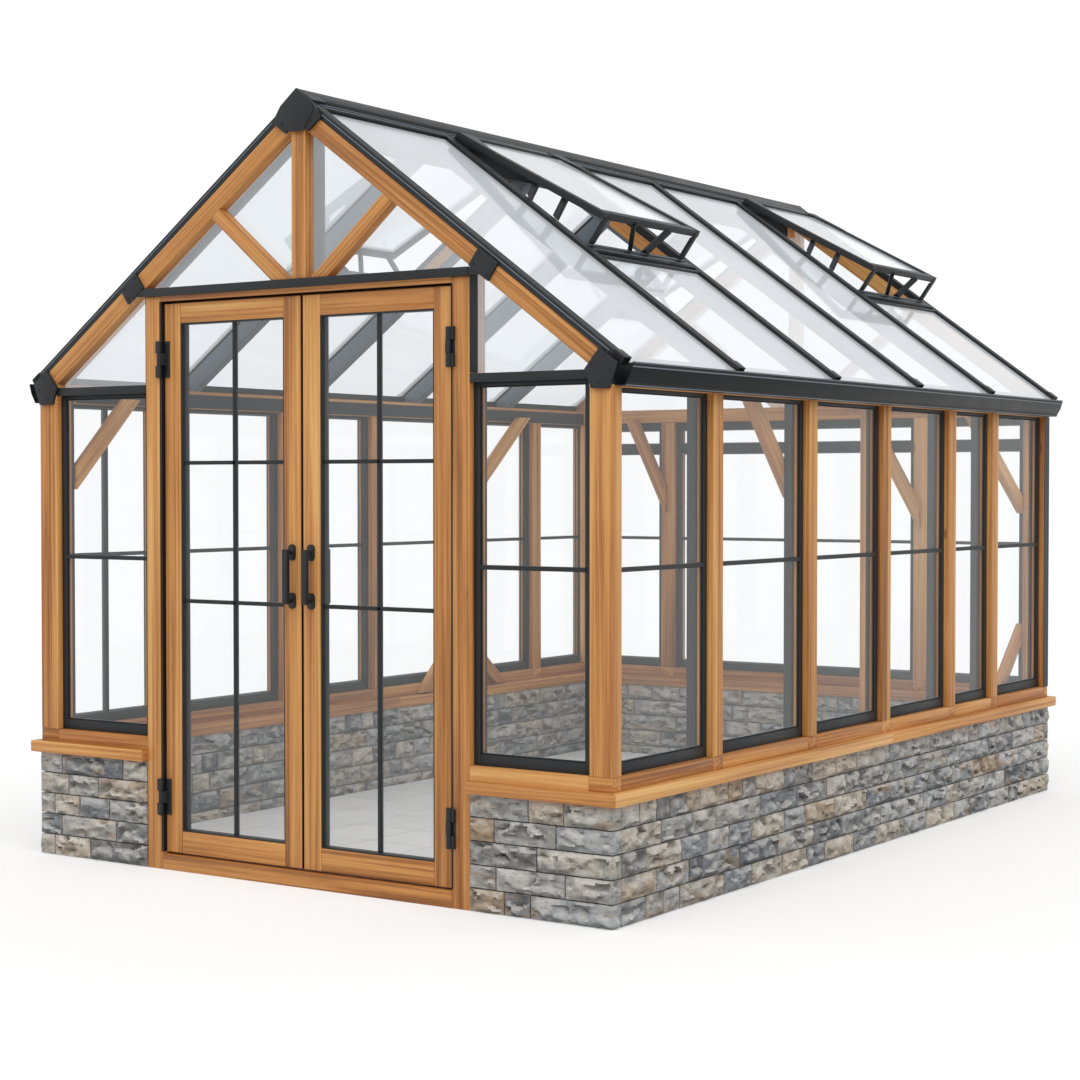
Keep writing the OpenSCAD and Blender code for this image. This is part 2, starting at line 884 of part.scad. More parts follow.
floor_slab();
front_stone_walls();
left_stone_wall();
right_stone_wall();
back_stone_wall();
front_sills();
left_sill();
right_sill();
back_sill();
corner_posts();
left_wall_studs();
right_wall_studs();
back_wall_posts();
wall_plates();
back_tie_beam();
wall_braces();
eave_beams();
door_jambs();
door_head();
door_threshold();
cross_bars();
front_window_frames();
left_window_frames();
right_window_frames();
back_window_frames();
front_window_glass();
left_wall_glass();
right_wall_glass();
back_wall_glass();
gable_rafters();
common_rafters();
ridge_board();
king_posts();
gable_braces();
gable_glass();
roof_bars();
roof_rails();
ridge_cap();
roof_glass();
vent_sashes();
vent_glass();
vent_stays();
gutters();
gusset_plates();
hinge_brackets();
left_door_frame();
left_door_glass();
left_door_handles();
left_door_hinges();
right_door_frame();
right_door_glass();
right_door_handles();
right_door_hinges();
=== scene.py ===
# %% [markdown]
# # A glass greenhouse
# A timber frame stands on a low wall of split stone. Black metal bars hold the glass, and two
# glazed doors open outwards. The packed model gives every size, so this script starts by loading
# it.

import bpy
import bmesh
import math
import random
import numpy as np
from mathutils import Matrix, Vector


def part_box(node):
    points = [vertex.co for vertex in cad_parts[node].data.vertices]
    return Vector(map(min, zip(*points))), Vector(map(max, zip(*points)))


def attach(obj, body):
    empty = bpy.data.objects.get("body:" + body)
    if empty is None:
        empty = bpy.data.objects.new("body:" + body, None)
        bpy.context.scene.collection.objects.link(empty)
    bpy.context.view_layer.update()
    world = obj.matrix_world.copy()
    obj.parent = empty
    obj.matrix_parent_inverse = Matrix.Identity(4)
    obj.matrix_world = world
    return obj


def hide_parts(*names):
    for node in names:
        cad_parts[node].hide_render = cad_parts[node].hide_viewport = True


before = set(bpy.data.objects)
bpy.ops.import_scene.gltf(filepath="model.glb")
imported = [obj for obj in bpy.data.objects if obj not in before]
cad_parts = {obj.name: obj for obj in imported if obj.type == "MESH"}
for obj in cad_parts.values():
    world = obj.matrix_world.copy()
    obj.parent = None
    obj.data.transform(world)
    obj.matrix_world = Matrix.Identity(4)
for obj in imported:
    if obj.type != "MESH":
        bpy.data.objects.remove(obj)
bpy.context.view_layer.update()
MM = 0.001

# %% [markdown]
# ## Camera
# The camera stands a little right of the doors, at eye height and well back, so the uprights stay
# straight and the door gable and the right wall both show. A long lens keeps the far end large.

# %% Place the camera
EYE = Vector((4.872, -7.614, 1.405))
TURN, DIP = math.radians(33.99), math.radians(1.46)
sight = Vector((-math.sin(TURN) * math.cos(DIP), math.cos(TURN) * math.cos(DIP), -math.sin(DIP)))
camera = bpy.data.objects.new("camera", bpy.data.cameras.new("camera"))
camera.data.sensor_width = 36.0
camera.data.lens = 71.68
camera.data.clip_end = 400.0
camera.location = EYE
camera.rotation_euler = sight.to_track_quat("-Z", "Y").to_euler()
bpy.context.scene.collection.objects.link(camera)
bpy.context.scene.camera = camera
print("camera at", tuple(EYE), "lens", camera.data.lens)

# %% [markdown]
# ## Shader maths as Python
# A finish is a network of nodes, and its maths reads best as plain arithmetic. Wire wraps one
# output socket, so that a sum or product of two wires adds the Math node. Finish holds the
# material, and its one method adds any node: settings first, then the values or wires it takes.

# %% Wires
class Wire:
    """One output socket, which can be used in sums and products."""

    def __init__(self, finish, socket):
        self.finish = finish
        self.socket = socket

    def maths(self, operation, a, b=0.0):
        return self.finish.node("ShaderNodeMath", {"operation": operation}, {0: a, 1: b})

    def __add__(self, other):
        return self.maths("ADD", self, other)

    def __radd__(self, other):
        return self.maths("ADD", other, self)

    def __sub__(self, other):
        return self.maths("SUBTRACT", self, other)

    def __rsub__(self, other):
        return self.maths("SUBTRACT", other, self)

    def __mul__(self, other):
        return self.maths("MULTIPLY", self, other)

    def __rmul__(self, other):
        return self.maths("MULTIPLY", other, self)

    def __pow__(self, other):
        return self.maths("POWER", self, other)

    def beside(self, out):
        """Another output of the node that this wire comes from."""
        return Wire(self.finish, self.socket.node.outputs[out])

    def between(self, low, high):
        """0 below low, 1 above high, and a smooth rise from one to the other."""
        return self.finish.node(
            "ShaderNodeMapRange",
            {"interpolation_type": "SMOOTHSTEP"},
            {"Value": self, "From Min": low, "From Max": high},
        )


print("wires take", [name for name in vars(Wire) if name.startswith("__r")], "too")


# %% Networks and finishes
class Network:
    """What a finish and a Geometry Nodes tree share: one method that adds any node."""

    def node(self, kind, settings=None, inputs=None, out=0):
        made = self.tree.nodes.new(kind)
        for key, value in (settings or {}).items():
            if key == "stops":
                ramp = made.color_ramp
                while len(ramp.elements) < len(value):
                    ramp.elements.new(0.5)
                for stop, (place, colour) in zip(ramp.elements, value):
                    stop.position = place
                    stop.color = (*colour, 1.0)
            else:
                setattr(made, key, value)
        for key, value in (inputs or {}).items():
            if isinstance(value, Wire):
                self.tree.links.new(value.socket, made.inputs[key])
            elif isinstance(value, list):
                for wire in value:
                    self.tree.links.new(wire.socket, made.inputs[key])
            elif isinstance(value, tuple) and len(value) == 3 and made.inputs[key].type == "RGBA":
                made.inputs[key].default_value = (*value, 1.0)
            else:
                made.inputs[key].default_value = value
        return Wire(self, made.outputs[out]) if made.outputs else None

    def vectors(self, operation, a, b):
        return self.node("ShaderNodeVectorMath", {"operation": operation}, {0: a, 1: b})

    def dot(self, a, b):
        return self.vectors("DOT_PRODUCT", a, b).beside(1)

    def stretched(self, place, scale, shift=None):
        """A place, scaled along its three axes and moved on by a wire."""
        moved = self.vectors("MULTIPLY", place, scale)
        return moved if shift is None else self.vectors("ADD", moved, shift)

    def noise(self, place, scale, detail=3.0, roughness=0.55, shift=None, out=0):
        return self.node(
            "ShaderNodeTexNoise", {},
            {"Vector": self.stretched(place, scale, shift), "Scale": 1.0, "Detail": detail,
             "Roughness": roughness}, out,
        )

    def facets(self, place, scale, shift):
        """Flat chips that each tilt their own way and end in small steps, as stone splits."""
        spot = self.stretched(place, scale, shift)
        cell = {"Vector": spot, "Scale": 1.0, "Randomness": 1.0}
        tint = self.node("ShaderNodeTexVoronoi", {}, cell, out=1)
        tilt = self.vectors("SUBTRACT", tint, (0.5, 0.5, 0.5))
        slope = self.dot(self.vectors("SUBTRACT", spot, tint.beside(2)), tilt)
        return slope * 1.5 + self.dot(tilt, (1.0, 0.0, 0.0))


class Finish(Network):
    """One material and its nodes."""

    def __init__(self, name):
        self.material = bpy.data.materials.new(name)
        self.material.use_nodes = True
        self.tree = self.material.node_tree
        self.tree.nodes.clear()

    def place(self):
        """Where a point lies on its object."""
        return self.node("ShaderNodeTexCoord", out=3)

    def stored(self, title, out=2):
        """A number (output 2) or a place (output 1) that the mesh carries."""
        return self.node("ShaderNodeAttribute", {"attribute_name": title}, out=out)

    def blend(self, share, first, second):
        """A colour between two others."""
        return self.node("ShaderNodeMix", {"data_type": "RGBA"}, {0: share, 6: first, 7: second}, out=2)

    def ramp(self, share, stops):
        return self.node("ShaderNodeValToRGB", {"stops": stops}, {0: share})

    def bump(self, height, depth):
        return self.node("ShaderNodeBump", {}, {"Height": height, "Distance": depth, "Strength": 1.0})

    def surface(self, **inputs):
        """Ends the finish in a Principled shader, whose sockets are named with underscores."""
        return self.node(
            "ShaderNodeBsdfPrincipled", {}, {k.replace("_", " "): v for k, v in inputs.items()}
        )

    def done(self, shader):
        self.node("ShaderNodeOutputMaterial", {}, {"Surface": shader})
        print("finish:", self.material.name, "with", len(self.tree.nodes), "nodes")
        return self.material


def shade(*rgb):
    """A colour given as it is seen, 0 to 255 each, as the linear light that a shader takes."""
    return tuple(((c / 255 + 0.055) / 1.055) ** 2.4 if c > 10 else c / 255 / 12.92 for c in rgb)


print("mid grey is", round(shade(128)[0], 3), "in linear light")

# %% [markdown]
# ## Studio light and floor
# Plain soft light shows the timber and stone as they are. A pale sky lights from all round, and one
# broad sun from the front right gives the faces their slight difference. Both are the same
# everywhere, so the floor keeps one level right up to the horizon, apart from the soft shadow at
# the foot of the walls. Rays that come straight from the camera, or by way of gloss and glass, see
# a white sky, and the floor is lifted to the same white for them.

# %% Light the studio
SKY_LEVEL = 0.72
SUN_LEVEL = 1.25
FLOOR_TONE = 0.78
FLOOR_LIFT = 0.24
SKY_SEEN = 1.045

scene = bpy.context.scene
scene.view_settings.view_transform = "Standard"


def seen_directly(network):
    """1 for rays that should meet the white backdrop, and 0 for the light that falls on things."""
    path = network.node("ShaderNodeLightPath")
    seen = path.beside("Is Camera Ray")
    for output in ("Is Glossy Ray", "Is Transmission Ray"):
        seen = seen.maths("MAXIMUM", seen, path.beside(output))
    return seen


def studio_sky():
    scene.world = bpy.data.worlds.new("studio")
    scene.world.use_nodes = True
    sky = Network()
    sky.tree = scene.world.node_tree
    sky.tree.nodes.clear()
    levels = {"Value": seen_directly(sky), "To Min": SKY_LEVEL, "To Max": SKY_SEEN}
    level = sky.node("ShaderNodeMapRange", {}, levels)
    light = sky.node("ShaderNodeBackground", {}, {"Color": (1.0, 1.0, 1.0), "Strength": level})
    sky.node("ShaderNodeOutputWorld", {}, {"Surface": light})


def studio_sun(name, azimuth, height, level, spread):
    """A sun that shines from that side: azimuth 0 is from the front, and 90 from the right."""
    lamp = bpy.data.lights.new(name, "SUN")
    lamp.energy = level
    lamp.angle = math.radians(spread)
    holder = bpy.data.objects.new(name, lamp)
    a, h = math.radians(azimuth), math.radians(height)
    towards = Vector((-math.sin(a) * math.cos(h), math.cos(a) * math.cos(h), -math.sin(h)))
    holder.rotation_euler = towards.to_track_quat("-Z", "Y").to_euler()
    scene.collection.objects.link(holder)


def studio_floor():
    half = 120.0
    corners = [(-half, -half, 0), (half, -half, 0), (half, half, 0), (-half, half, 0)]
    mesh = bpy.data.meshes.new("studio_floor")
    mesh.from_pydata(corners, [], [(0, 1, 2, 3)])
    ground = bpy.data.objects.new("studio_floor", mesh)
    scene.collection.objects.link(ground)
    paint = Finish("studio_floor")
    shader = paint.surface(Base_Color=(FLOOR_TONE,) * 3, Roughness=1.0, Specular_IOR_Level=0.0)
    strength = seen_directly(paint) * FLOOR_LIFT
    lift = paint.node("ShaderNodeEmission", {}, {"Color": (1.0, 1.0, 1.0), "Strength": strength})
    both = paint.node("ShaderNodeAddShader", {}, {0: shader, 1: lift})
    mesh.materials.append(paint.done(both))


studio_sky()
studio_sun("broad_sun", 34.0, 52.0, SUN_LEVEL, 60.0)
studio_floor()
print("sky", SKY_LEVEL, "sun", SUN_LEVEL)

# %% [markdown]
# ## Finishes
# Oiled cedar is a warm gold brown with straight grain that runs along every board, so its pattern
# reads each board's own grain directions, which are stored on the mesh. The growth rings are
# stretched noise, the pores are a finer one, and a few small knots are dark ovals.

# %% Cedar
def cedar():
    wood = Finish("cedar")
    grain = wood.stored("grain", 1)
    board = wood.stored("board")
    rings = wood.noise(grain, (1.1, 96.0, 96.0), 4.0)
    waves = wood.noise(grain, (0.8, 15.0, 15.0), 2.0)
    pores = wood.noise(grain, (14.0, 620.0, 620.0), 3.0, 0.65)
    streak = rings * 0.6 + waves * 0.4
    tone = (streak - 0.5) * 2.3 + (board - 0.5) * 0.4 + (pores - 0.5) * 0.45 + 0.53
    colour = wood.ramp(tone, [
        (0.0, shade(112, 65, 26)), (0.28, shade(158, 100, 45)), (0.52, shade(192, 131, 67)),
        (0.75, shade(210, 154, 86)), (1.0, shade(226, 178, 111)),
    ])
    red = wood.noise(grain, (0.9, 5.0, 5.0), 1.0)
    colour = wood.blend(red.between(0.5, 0.78) * 0.35, colour, shade(172, 98, 48))
    spots = wood.node(
        "ShaderNodeTexVoronoi", {"distance": "EUCLIDEAN"},
        {"Vector": wood.stretched(grain, (2.3, 10.0, 10.0)), "Scale": 1.0, "Randomness": 1.0},
    )
    knot = 1.0 - spots.between(0.025, 0.075)
    colour = wood.blend(knot * 0.7, colour, shade(92, 50, 24))
    height = rings * 0.5 + pores * 0.5
    return wood.done(wood.surface(
        Base_Color=colour, Roughness=0.5 + (pores - 0.5) * 0.25, Normal=wood.bump(height, 0.0006),
    ))


CEDAR = cedar()

# %% [markdown]
# The bars, gutters, hinges and handles are aluminium and steel under one satin black powder coat.
# It has a very fine orange-peel texture and dulls a little in patches, which keeps broad
# faces from looking like plastic. Gutters and rails have a darker and duller coat, and the
# rafters inside are grey. The thin ribs and lips are grey too, as painted highlight where they
# catch the light. Seals are nearly black rubber, and the same dark finish is painted shade in
# the gaps round the doors and in the gutter grooves.

# %% Black powder coat, and the dark finish of seals and of painted shade
def powder_coat(name, low, high, gloss, shine=0.3):
    coat = Finish(name)
    place = coat.place()
    patches = coat.noise(place, (7.0, 7.0, 7.0), 3.0)
    peel = coat.noise(place, (420.0, 420.0, 420.0), 1.0)
    colour = coat.blend(patches, low, high)
    return coat.done(coat.surface(
        Base_Color=colour, Roughness=gloss + (patches - 0.5) * 0.16 + (peel - 0.5) * 0.08,
        Specular_IOR_Level=shine, Normal=coat.bump(peel, 0.00003),
    ))


BLACK = powder_coat("black_coat", shade(28, 31, 33), shade(38, 41, 43), 0.5)
# Grey: the rafters' own colour, and painted highlight on the thin ribs and lips.
GREY = powder_coat("grey_coat", shade(98, 110, 119), shade(112, 124, 133), 0.45)
DARK = powder_coat("dark_coat", shade(17, 19, 21), shade(26, 28, 30), 0.42, 0.14)
# Nearly black rubber for the real seals, also used as painted shade in door gaps and gutter grooves.
SEAL_AND_SHADE = powder_coat("seal_and_shade", shade(18, 19, 20), shade(26, 27, 28), 0.62)

# %% [markdown]
# Window glass lets nearly all light through and mirrors the sky at a low angle. A clear shader
# and a mirror are mixed by how squarely the pane is seen. A Fresnel node would take the back face
# of a pane for the inside of solid glass and make it a full mirror, so the share is worked out
# from Layer Weight. A little white veil that glows stands for a film of dust on the glass, and is
# also painted light: the white sky seen in it.

# %% Glass
def glass(name, mirrored, veil, tint, glow_colour):
    pane = Finish(name)
    place = pane.place()
    veil_patches = pane.noise(place, (1.7, 1.7, 1.7), 3.0)
    clear = pane.node("ShaderNodeBsdfTransparent", {}, {"Color": tint})
    mirror = pane.surface(Base_Color=(0.96, 0.97, 0.98), Metallic=1.0, Roughness=0.03)
    # Painted light: this white shader glows and stands for the white sky seen in the glass, over a film of
    # dust.
    white = pane.surface(Base_Color=(0.06, 0.06, 0.06), Roughness=0.5, Emission_Color=glow_colour,
                         Emission_Strength=1.0)
    slant = pane.node("ShaderNodeLayerWeight", {}, {"Blend": 0.5}, out=1)
    edge = slant ** 5.0 * 0.9 + 0.035
    dust_and_glow = pane.node("ShaderNodeMixShader", {}, {0: (veil_patches * 0.8 + 0.6) * veil, 1: clear, 2: white})
    mixed = pane.node("ShaderNodeMixShader", {}, {0: edge * mirrored, 1: dust_and_glow, 2: mirror})
    return pane.done(mixed)


WALL_GLASS = glass("wall_glass", 0.5, 0.032, (0.988, 0.99, 0.992), shade(222, 226, 226))
GABLE_GLASS = glass("gable_glass", 0.5, 0.2, (0.985, 0.99, 0.995), shade(222, 228, 233))
ROOF_GLASS = glass("roof_glass", 0.6, 0.39, (0.99, 0.994, 1.0), shade(224, 229, 234))

# %% [markdown]
# The wall is ledge stone: grey, blue-grey, buff and rust-brown pieces with split faces. Each stone
# carries its own number, which picks its colour, and rust and clouds cross it. Its chips are
# facets. Painted shade darkens the faces that look down and the hollows of the stored relief, and
# painted highlight pales the faces that look up and the crests. The joints are dry and dark, so
# what lies behind the stones is nearly black.

# %% Stone and tile
def split_stone():
    stone = Finish("split_stone")
    place = stone.place()
    number = stone.stored("stone")
    offset = stone.node("ShaderNodeCombineXYZ", {}, {0: number * 37.0, 1: number * 19.0, 2: number * 53.0})
    body = stone.ramp(number, [
        (0.0, shade(104, 109, 117)), (0.12, shade(188, 189, 188)), (0.25, shade(142, 146, 151)),
        (0.38, shade(202, 199, 192)), (0.5, shade(98, 103, 111)), (0.62, shade(198, 188, 172)),
        (0.74, shade(164, 165, 164)), (0.86, shade(206, 195, 178)), (1.0, shade(172, 148, 120)),
    ])
    other = stone.ramp(number.maths("FRACT", number * 7.3), [
        (0.0, shade(172, 138, 100)), (0.4, shade(182, 164, 140)), (0.7, shade(128, 132, 137)),
        (1.0, shade(186, 184, 180)),
    ])
    patch = stone.noise(place, (7.0, 7.0, 16.0), 4.0, 0.6, offset)
    colour = stone.blend(patch.between(0.5, 0.66) * 0.75, body, other)
    relief = stone.stored("relief")
    turned = stone.node("ShaderNodeNewGeometry", out=1)
    level = stone.node("ShaderNodeSeparateXYZ", {}, {0: turned}, out=2)
    clouds = stone.noise(place, (20.0, 20.0, 30.0), 3.0, 0.6, offset)
    streaks = stone.noise(place, (26.0, 26.0, 74.0), 3.0, 0.62, offset)
    grit = stone.noise(place, (240.0, 240.0, 340.0), 4.0, 0.7, offset)
    chips = stone.facets(place, (38.0, 38.0, 60.0), offset)
    colour = stone.blend(clouds.between(0.5, 0.7) * 0.42, colour, shade(84, 86, 90))
    colour = stone.blend(clouds.between(0.28, 0.5), stone.blend(0.4, colour, shade(222, 219, 212)), colour)
    colour = stone.blend(streaks.between(0.57, 0.66) * 0.5, colour, shade(54, 54, 56))
    # Painted shade in the hollows and on faces that look down, and painted highlight on the crests and on
    # faces that look up.
    colour = stone.blend((1.0 - relief.between(-0.22, 0.16)) * 0.42, colour, shade(56, 56, 57))
    colour = stone.blend(relief.between(0.3, 0.7) * 0.4, colour, shade(232, 229, 222))
    colour = stone.blend((1.0 - level.between(-0.6, -0.06)) * 0.52, colour, shade(40, 40, 42))
    colour = stone.blend(level.between(0.12, 0.6) * 0.4, colour, shade(234, 231, 225))
    colour = stone.blend(grit.between(0.3, 0.6), stone.blend(0.2, colour, shade(60, 60, 62)), colour)
    height = chips * 0.36 + streaks * 0.4 + grit * 0.08
    return stone.done(stone.surface(
        Base_Color=colour, Roughness=0.84 + (grit - 0.5) * 0.2, Normal=stone.bump(height, 0.014),
    ))


def floor_tile():
    tile = Finish("floor_tile")
    place = tile.place()
    number = tile.stored("stone")
    clouds = tile.noise(place, (5.0, 14.0, 5.0), 5.0, 0.6)
    speck = tile.noise(place, (300.0, 300.0, 300.0), 2.0)
    tone = (clouds - 0.5) * 1.2 + (number - 0.5) * 0.5 + (speck - 0.5) * 0.2 + 0.5
    colour = tile.ramp(tone, [
        (0.0, shade(236, 238, 238)), (0.5, shade(246, 247, 246)), (1.0, shade(252, 252, 250)),
    ])
    return tile.done(tile.surface(
        Base_Color=colour, Roughness=0.42 + (clouds - 0.5) * 0.2, Normal=tile.bump(clouds, 0.0008),
    ))


def joint(name, colour, paler):
    mortar = Finish(name)
    place = mortar.place()
    sand = mortar.noise(place, (240.0, 240.0, 240.0), 4.0, 0.7)
    return mortar.done(mortar.surface(
        Base_Color=mortar.blend(sand, colour, paler), Roughness=0.95, Normal=mortar.bump(sand, 0.001),
    ))


STONE = split_stone()
TILE = floor_tile()
DARK_JOINT = joint("dark_joint", shade(28, 28, 29), shade(52, 51, 50))
GROUT = joint("grout", shade(150, 150, 148), shade(170, 170, 167))

# %% [markdown]
# ## Boards and bars from the frame
# The packed pieces have sharp corners and one surface each. Real boards have eased edges that
# catch a line of light, and each has its own grain. So a copy of each solid is taken apart into
# its boards, its edges are bevelled, and every corner point stores where it lies along, across and
# through its board, plus a random start so that no two boards look alike.

# %% Gather solids into one mesh
draw = random.Random(1207)
EASE = 2.4 * MM


class Gathered:
    """Solids that become one finished piece, with the grain place of every point."""

    def __init__(self, name):
        self.name = name
        self.points, self.faces, self.grain, self.board = [], [], [], []

    def add(self, solid, ease=EASE, steps=2, angle=30.0):
        """Adds a bmesh solid, eases its edges and lays grain along its longest edge."""
        longest = max(solid.edges, key=lambda e: e.calc_length())
        along = (longest.verts[1].co - longest.verts[0].co).normalized()
        if max(along, key=abs) < 0:
            along = -along
        widest = max(solid.faces, key=lambda f: f.calc_area())
        through = widest.normal.copy()
        across = through.cross(along).normalized()
        if ease:
            sharp = [e for e in solid.edges if e.calc_face_angle(0.0) > math.radians(angle)]
            bmesh.ops.bevel(solid, geom=sharp, offset=ease, segments=steps, profile=0.5,
                            affect="EDGES", clamp_overlap=True)
        start = Vector([draw.uniform(0, 40) for _ in range(3)])
        tone = draw.random()
        base = len(self.points)
        solid.verts.index_update()
        for vert in solid.verts:
            self.points.append(tuple(vert.co))
            place = [vert.co.dot(way) for way in (along, across, through)]
            self.grain.append(tuple(Vector(place) + start))
            self.board.append(tone)
        for face in solid.faces:
            self.faces.append([base + v.index for v in face.verts])
        solid.free()

    def box(self, low, high, ease=EASE, steps=2):
        """Adds a board between two corners."""
        solid = bmesh.new()
        bmesh.ops.create_cube(solid, size=1.0)
        for vert in solid.verts:
            vert.co = Vector([low[k] + (high[k] - low[k]) * (vert.co[k] + 0.5) for k in range(3)])
        bmesh.ops.recalc_face_normals(solid, faces=solid.faces)
        self.add(solid, ease, steps)

    def pushed(self, outline, way, ease=EASE, steps=2):
        """Adds an outline, given as points, pushed along a way."""
        solid = bmesh.new()
        near = [solid.verts.new(Vector(point)) for point in outline]
        far = [solid.verts.new(Vector(point) + Vector(way)) for point in outline]
        solid.faces.new(near[::-1])
        solid.faces.new(far)
        for k, vert in enumerate(near):
            after = (k + 1) % len(near)
            solid.faces.new([vert, near[after], far[after], far[k]])
        bmesh.ops.recalc_face_normals(solid, faces=solid.faces)
        self.add(solid, ease, steps)

    def made(self, material, slot, nodes=(), body="greenhouse", smooth=25.0):
        """The finished object, which rides on its body and stands for the packed nodes."""
        mesh = bpy.data.meshes.new(self.name)
        mesh.from_pydata(self.points, [], self.faces)
        for title, kind, values in (("grain", "FLOAT_VECTOR", self.grain), ("board", "FLOAT", self.board)):
            layer = mesh.attributes.new(title, kind, "POINT")
            layer.data.foreach_set("vector" if kind == "FLOAT_VECTOR" else "value", np.ravel(values))
        piece = bpy.data.objects.new(self.name, mesh)
        mesh.materials.append(material)
        return placed(piece, nodes, body, smooth)


print("boards get edges of", EASE, "m")


# %% Place pieces and take packed ones apart
def placed(piece, nodes=(), body="greenhouse", smooth=25.0):
    scene.collection.objects.link(piece)
    piece.data.shade_smooth()
    piece.data.set_sharp_from_angle(angle=math.radians(smooth))
    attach(piece, body)
    if nodes:
        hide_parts(*nodes)
    print(f"{piece.name}: {len(piece.data.polygons)} faces")
    return piece


def solids_of(node):
    """The separate solids of a packed piece, each as a bmesh with merged corners and flat faces."""
    whole = bmesh.new()
    whole.from_mesh(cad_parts[node].data)
    bmesh.ops.remove_doubles(whole, verts=whole.verts, dist=0.01 * MM)
    bmesh.ops.dissolve_limit(whole, angle_limit=math.radians(0.5), verts=whole.verts, edges=whole.edges)
    whole.verts.index_update()
    whole.faces.index_update()
    left, found = set(whole.verts), []
    while left:
        group, reach = set(), [left.pop()]
        while reach:
            vert = reach.pop()
            group.add(vert)
            for edge in vert.link_edges:
                other = edge.other_vert(vert)
                if other in left:
                    left.discard(other)
                    reach.append(other)
        order = {vert: k for k, vert in enumerate(sorted(group, key=lambda v: v.index))}
        solid = bmesh.new()
        points = [solid.verts.new(vert.co) for vert in order]
        for face in sorted({f for vert in order for f in vert.link_faces}, key=lambda f: f.index):
            solid.faces.new([points[order[v]] for v in face.verts])
        solid.normal_update()
        found.append(solid)
    whole.free()
    return sorted(found, key=lambda s: tuple(round(c, 4) for c in min(tuple(v.co) for v in s.verts)))


def dressed(node, material, slot, ease=EASE, angle=30.0, body="greenhouse"):
    """A packed piece with eased edges, in place of the plain one."""
    gathered = Gathered(node + "_finished")
    for solid in solids_of(node):
        gathered.add(solid, ease, angle=angle)
    return gathered.made(material, slot, [node], body)


def solid_box(solid):
    points = np.array([tuple(v.co) for v in solid.verts])
    return Vector(points.min(0)), Vector(points.max(0))


def span(side, near, far):
    """The span between two distances from the middle, on that side (-1 or 1), low end first."""
    return sorted((side * near, side * far))


print("the corner posts are", len(solids_of("corner_posts")), "solids")

# %% [markdown]
# ## Geometry Nodes trees from Python
# What repeats is grown by Geometry Nodes: tiles, split stone faces, bars along their lines, and
# screws. Grower makes a tree with named inputs. grow() puts it on a simple start mesh, sets those
# inputs, and keeps the result as a plain mesh, so nothing depends on a live modifier.

# %% Trees with named inputs
class Grower(Network):
    """One Geometry Nodes tree, with named inputs."""

    def __init__(self, name, inputs):
        self.tree = bpy.data.node_groups.new(name, "GeometryNodeTree")
        sockets = self.tree.interface
        sockets.new_socket("Geometry", in_out="INPUT", socket_type="NodeSocketGeometry")
        for title, value in inputs.items():
            kind = {float: "Float", int: "Int", type(None): "Material"}[type(value)]
            socket = sockets.new_socket(title, in_out="INPUT", socket_type="NodeSocket" + kind)
            if value is not None:
                socket.default_value = value
        sockets.new_socket("Geometry", in_out="OUTPUT", socket_type="NodeSocketGeometry")
        self.inlet = self.node("NodeGroupInput")

    def given(self, title):
        return self.inlet.beside(title)

    def place(self):
        return self.node("GeometryNodeInputPosition")

    def stored(self, title, kind="FLOAT"):
        return self.node("GeometryNodeInputNamedAttribute", {"data_type": kind}, {"Name": title})

    def marked(self, geometry, title, value, kind="FLOAT", domain="POINT"):
        """The geometry, with a value stored on it."""
        return self.node("GeometryNodeStoreNamedAttribute", {"data_type": kind, "domain": domain},
                         {"Geometry": geometry, "Name": title, "Value": value})

    def scaled(self, way, length):
        return self.node("ShaderNodeVectorMath", {"operation": "SCALE"}, {0: way, "Scale": length})

    def grown(self, geometry):
        """Ends the tree: real geometry, with the finish on it."""
        real = self.node("GeometryNodeRealizeInstances", {}, {0: geometry})
        coated = self.node("GeometryNodeSetMaterial", {}, {0: real, "Material": self.given("Finish")})
        self.node("NodeGroupOutput", {}, {0: coated})
        print("tree:", self.tree.name, "with", len(self.tree.nodes), "nodes")
        return self


def grow(tree, name, points, edges=(), faces=(), stored=None, **values):
    """A new object: the tree's result on a start mesh, whose points may carry stored values."""
    mesh = bpy.data.meshes.new(name)
    mesh.from_pydata(points, edges, faces)
    for title, numbers in (stored or {}).items():
        flat = np.asarray(numbers, np.float32)
        kind, field = ("FLOAT_VECTOR", "vector") if flat.ndim == 2 else ("FLOAT", "value")
        mesh.attributes.new(title, kind, "POINT").data.foreach_set(field, flat.ravel())
    seedling = bpy.data.objects.new(name, mesh)
    scene.collection.objects.link(seedling)
    modifier = seedling.modifiers.new("grower", "NODES")
    modifier.node_group = tree.tree
    sockets = {s.name: s.identifier for s in tree.tree.interface.items_tree if s.in_out == "INPUT"}
    for title, value in values.items():
        modifier[sockets[title.replace("_", " ")]] = value
    grown = seedling.evaluated_get(bpy.context.evaluated_depsgraph_get())
    result = bpy.data.meshes.new_from_object(grown)
    seedling.modifiers.clear()
    bpy.data.objects.remove(seedling)
    result.name = name
    return bpy.data.objects.new(name, result)


print("grow() is ready")

# %% [markdown]
# ## Floor
# Pale square tiles lie in rows on a slab. A grid of points places one thin tile at each, with a
# random number for its tone, and a slab just under their tops shows as the grout.

# %% Lay the floor
def tile_tree():
    sizes = {"Length": 0.3, "Width": 0.3, "Thickness": 0.008}
    tree = Grower("floor_tiles", {**sizes, "Seed": 3, "Finish": None})
    size = tree.node("ShaderNodeCombineXYZ", {}, {
        0: tree.given("Length"), 1: tree.given("Width"), 2: tree.given("Thickness")})
    tile = tree.node("GeometryNodeMeshCube", {}, {"Size": size})
    laid = tree.node("GeometryNodeInstanceOnPoints", {}, {"Points": tree.given("Geometry"), "Instance": tile})
    number = tree.node(
        "FunctionNodeRandomValue", {"data_type": "FLOAT"}, {"Seed": tree.given("Seed")}, out=1)
    return tree.grown(tree.marked(laid, "stone", number, domain="INSTANCE"))


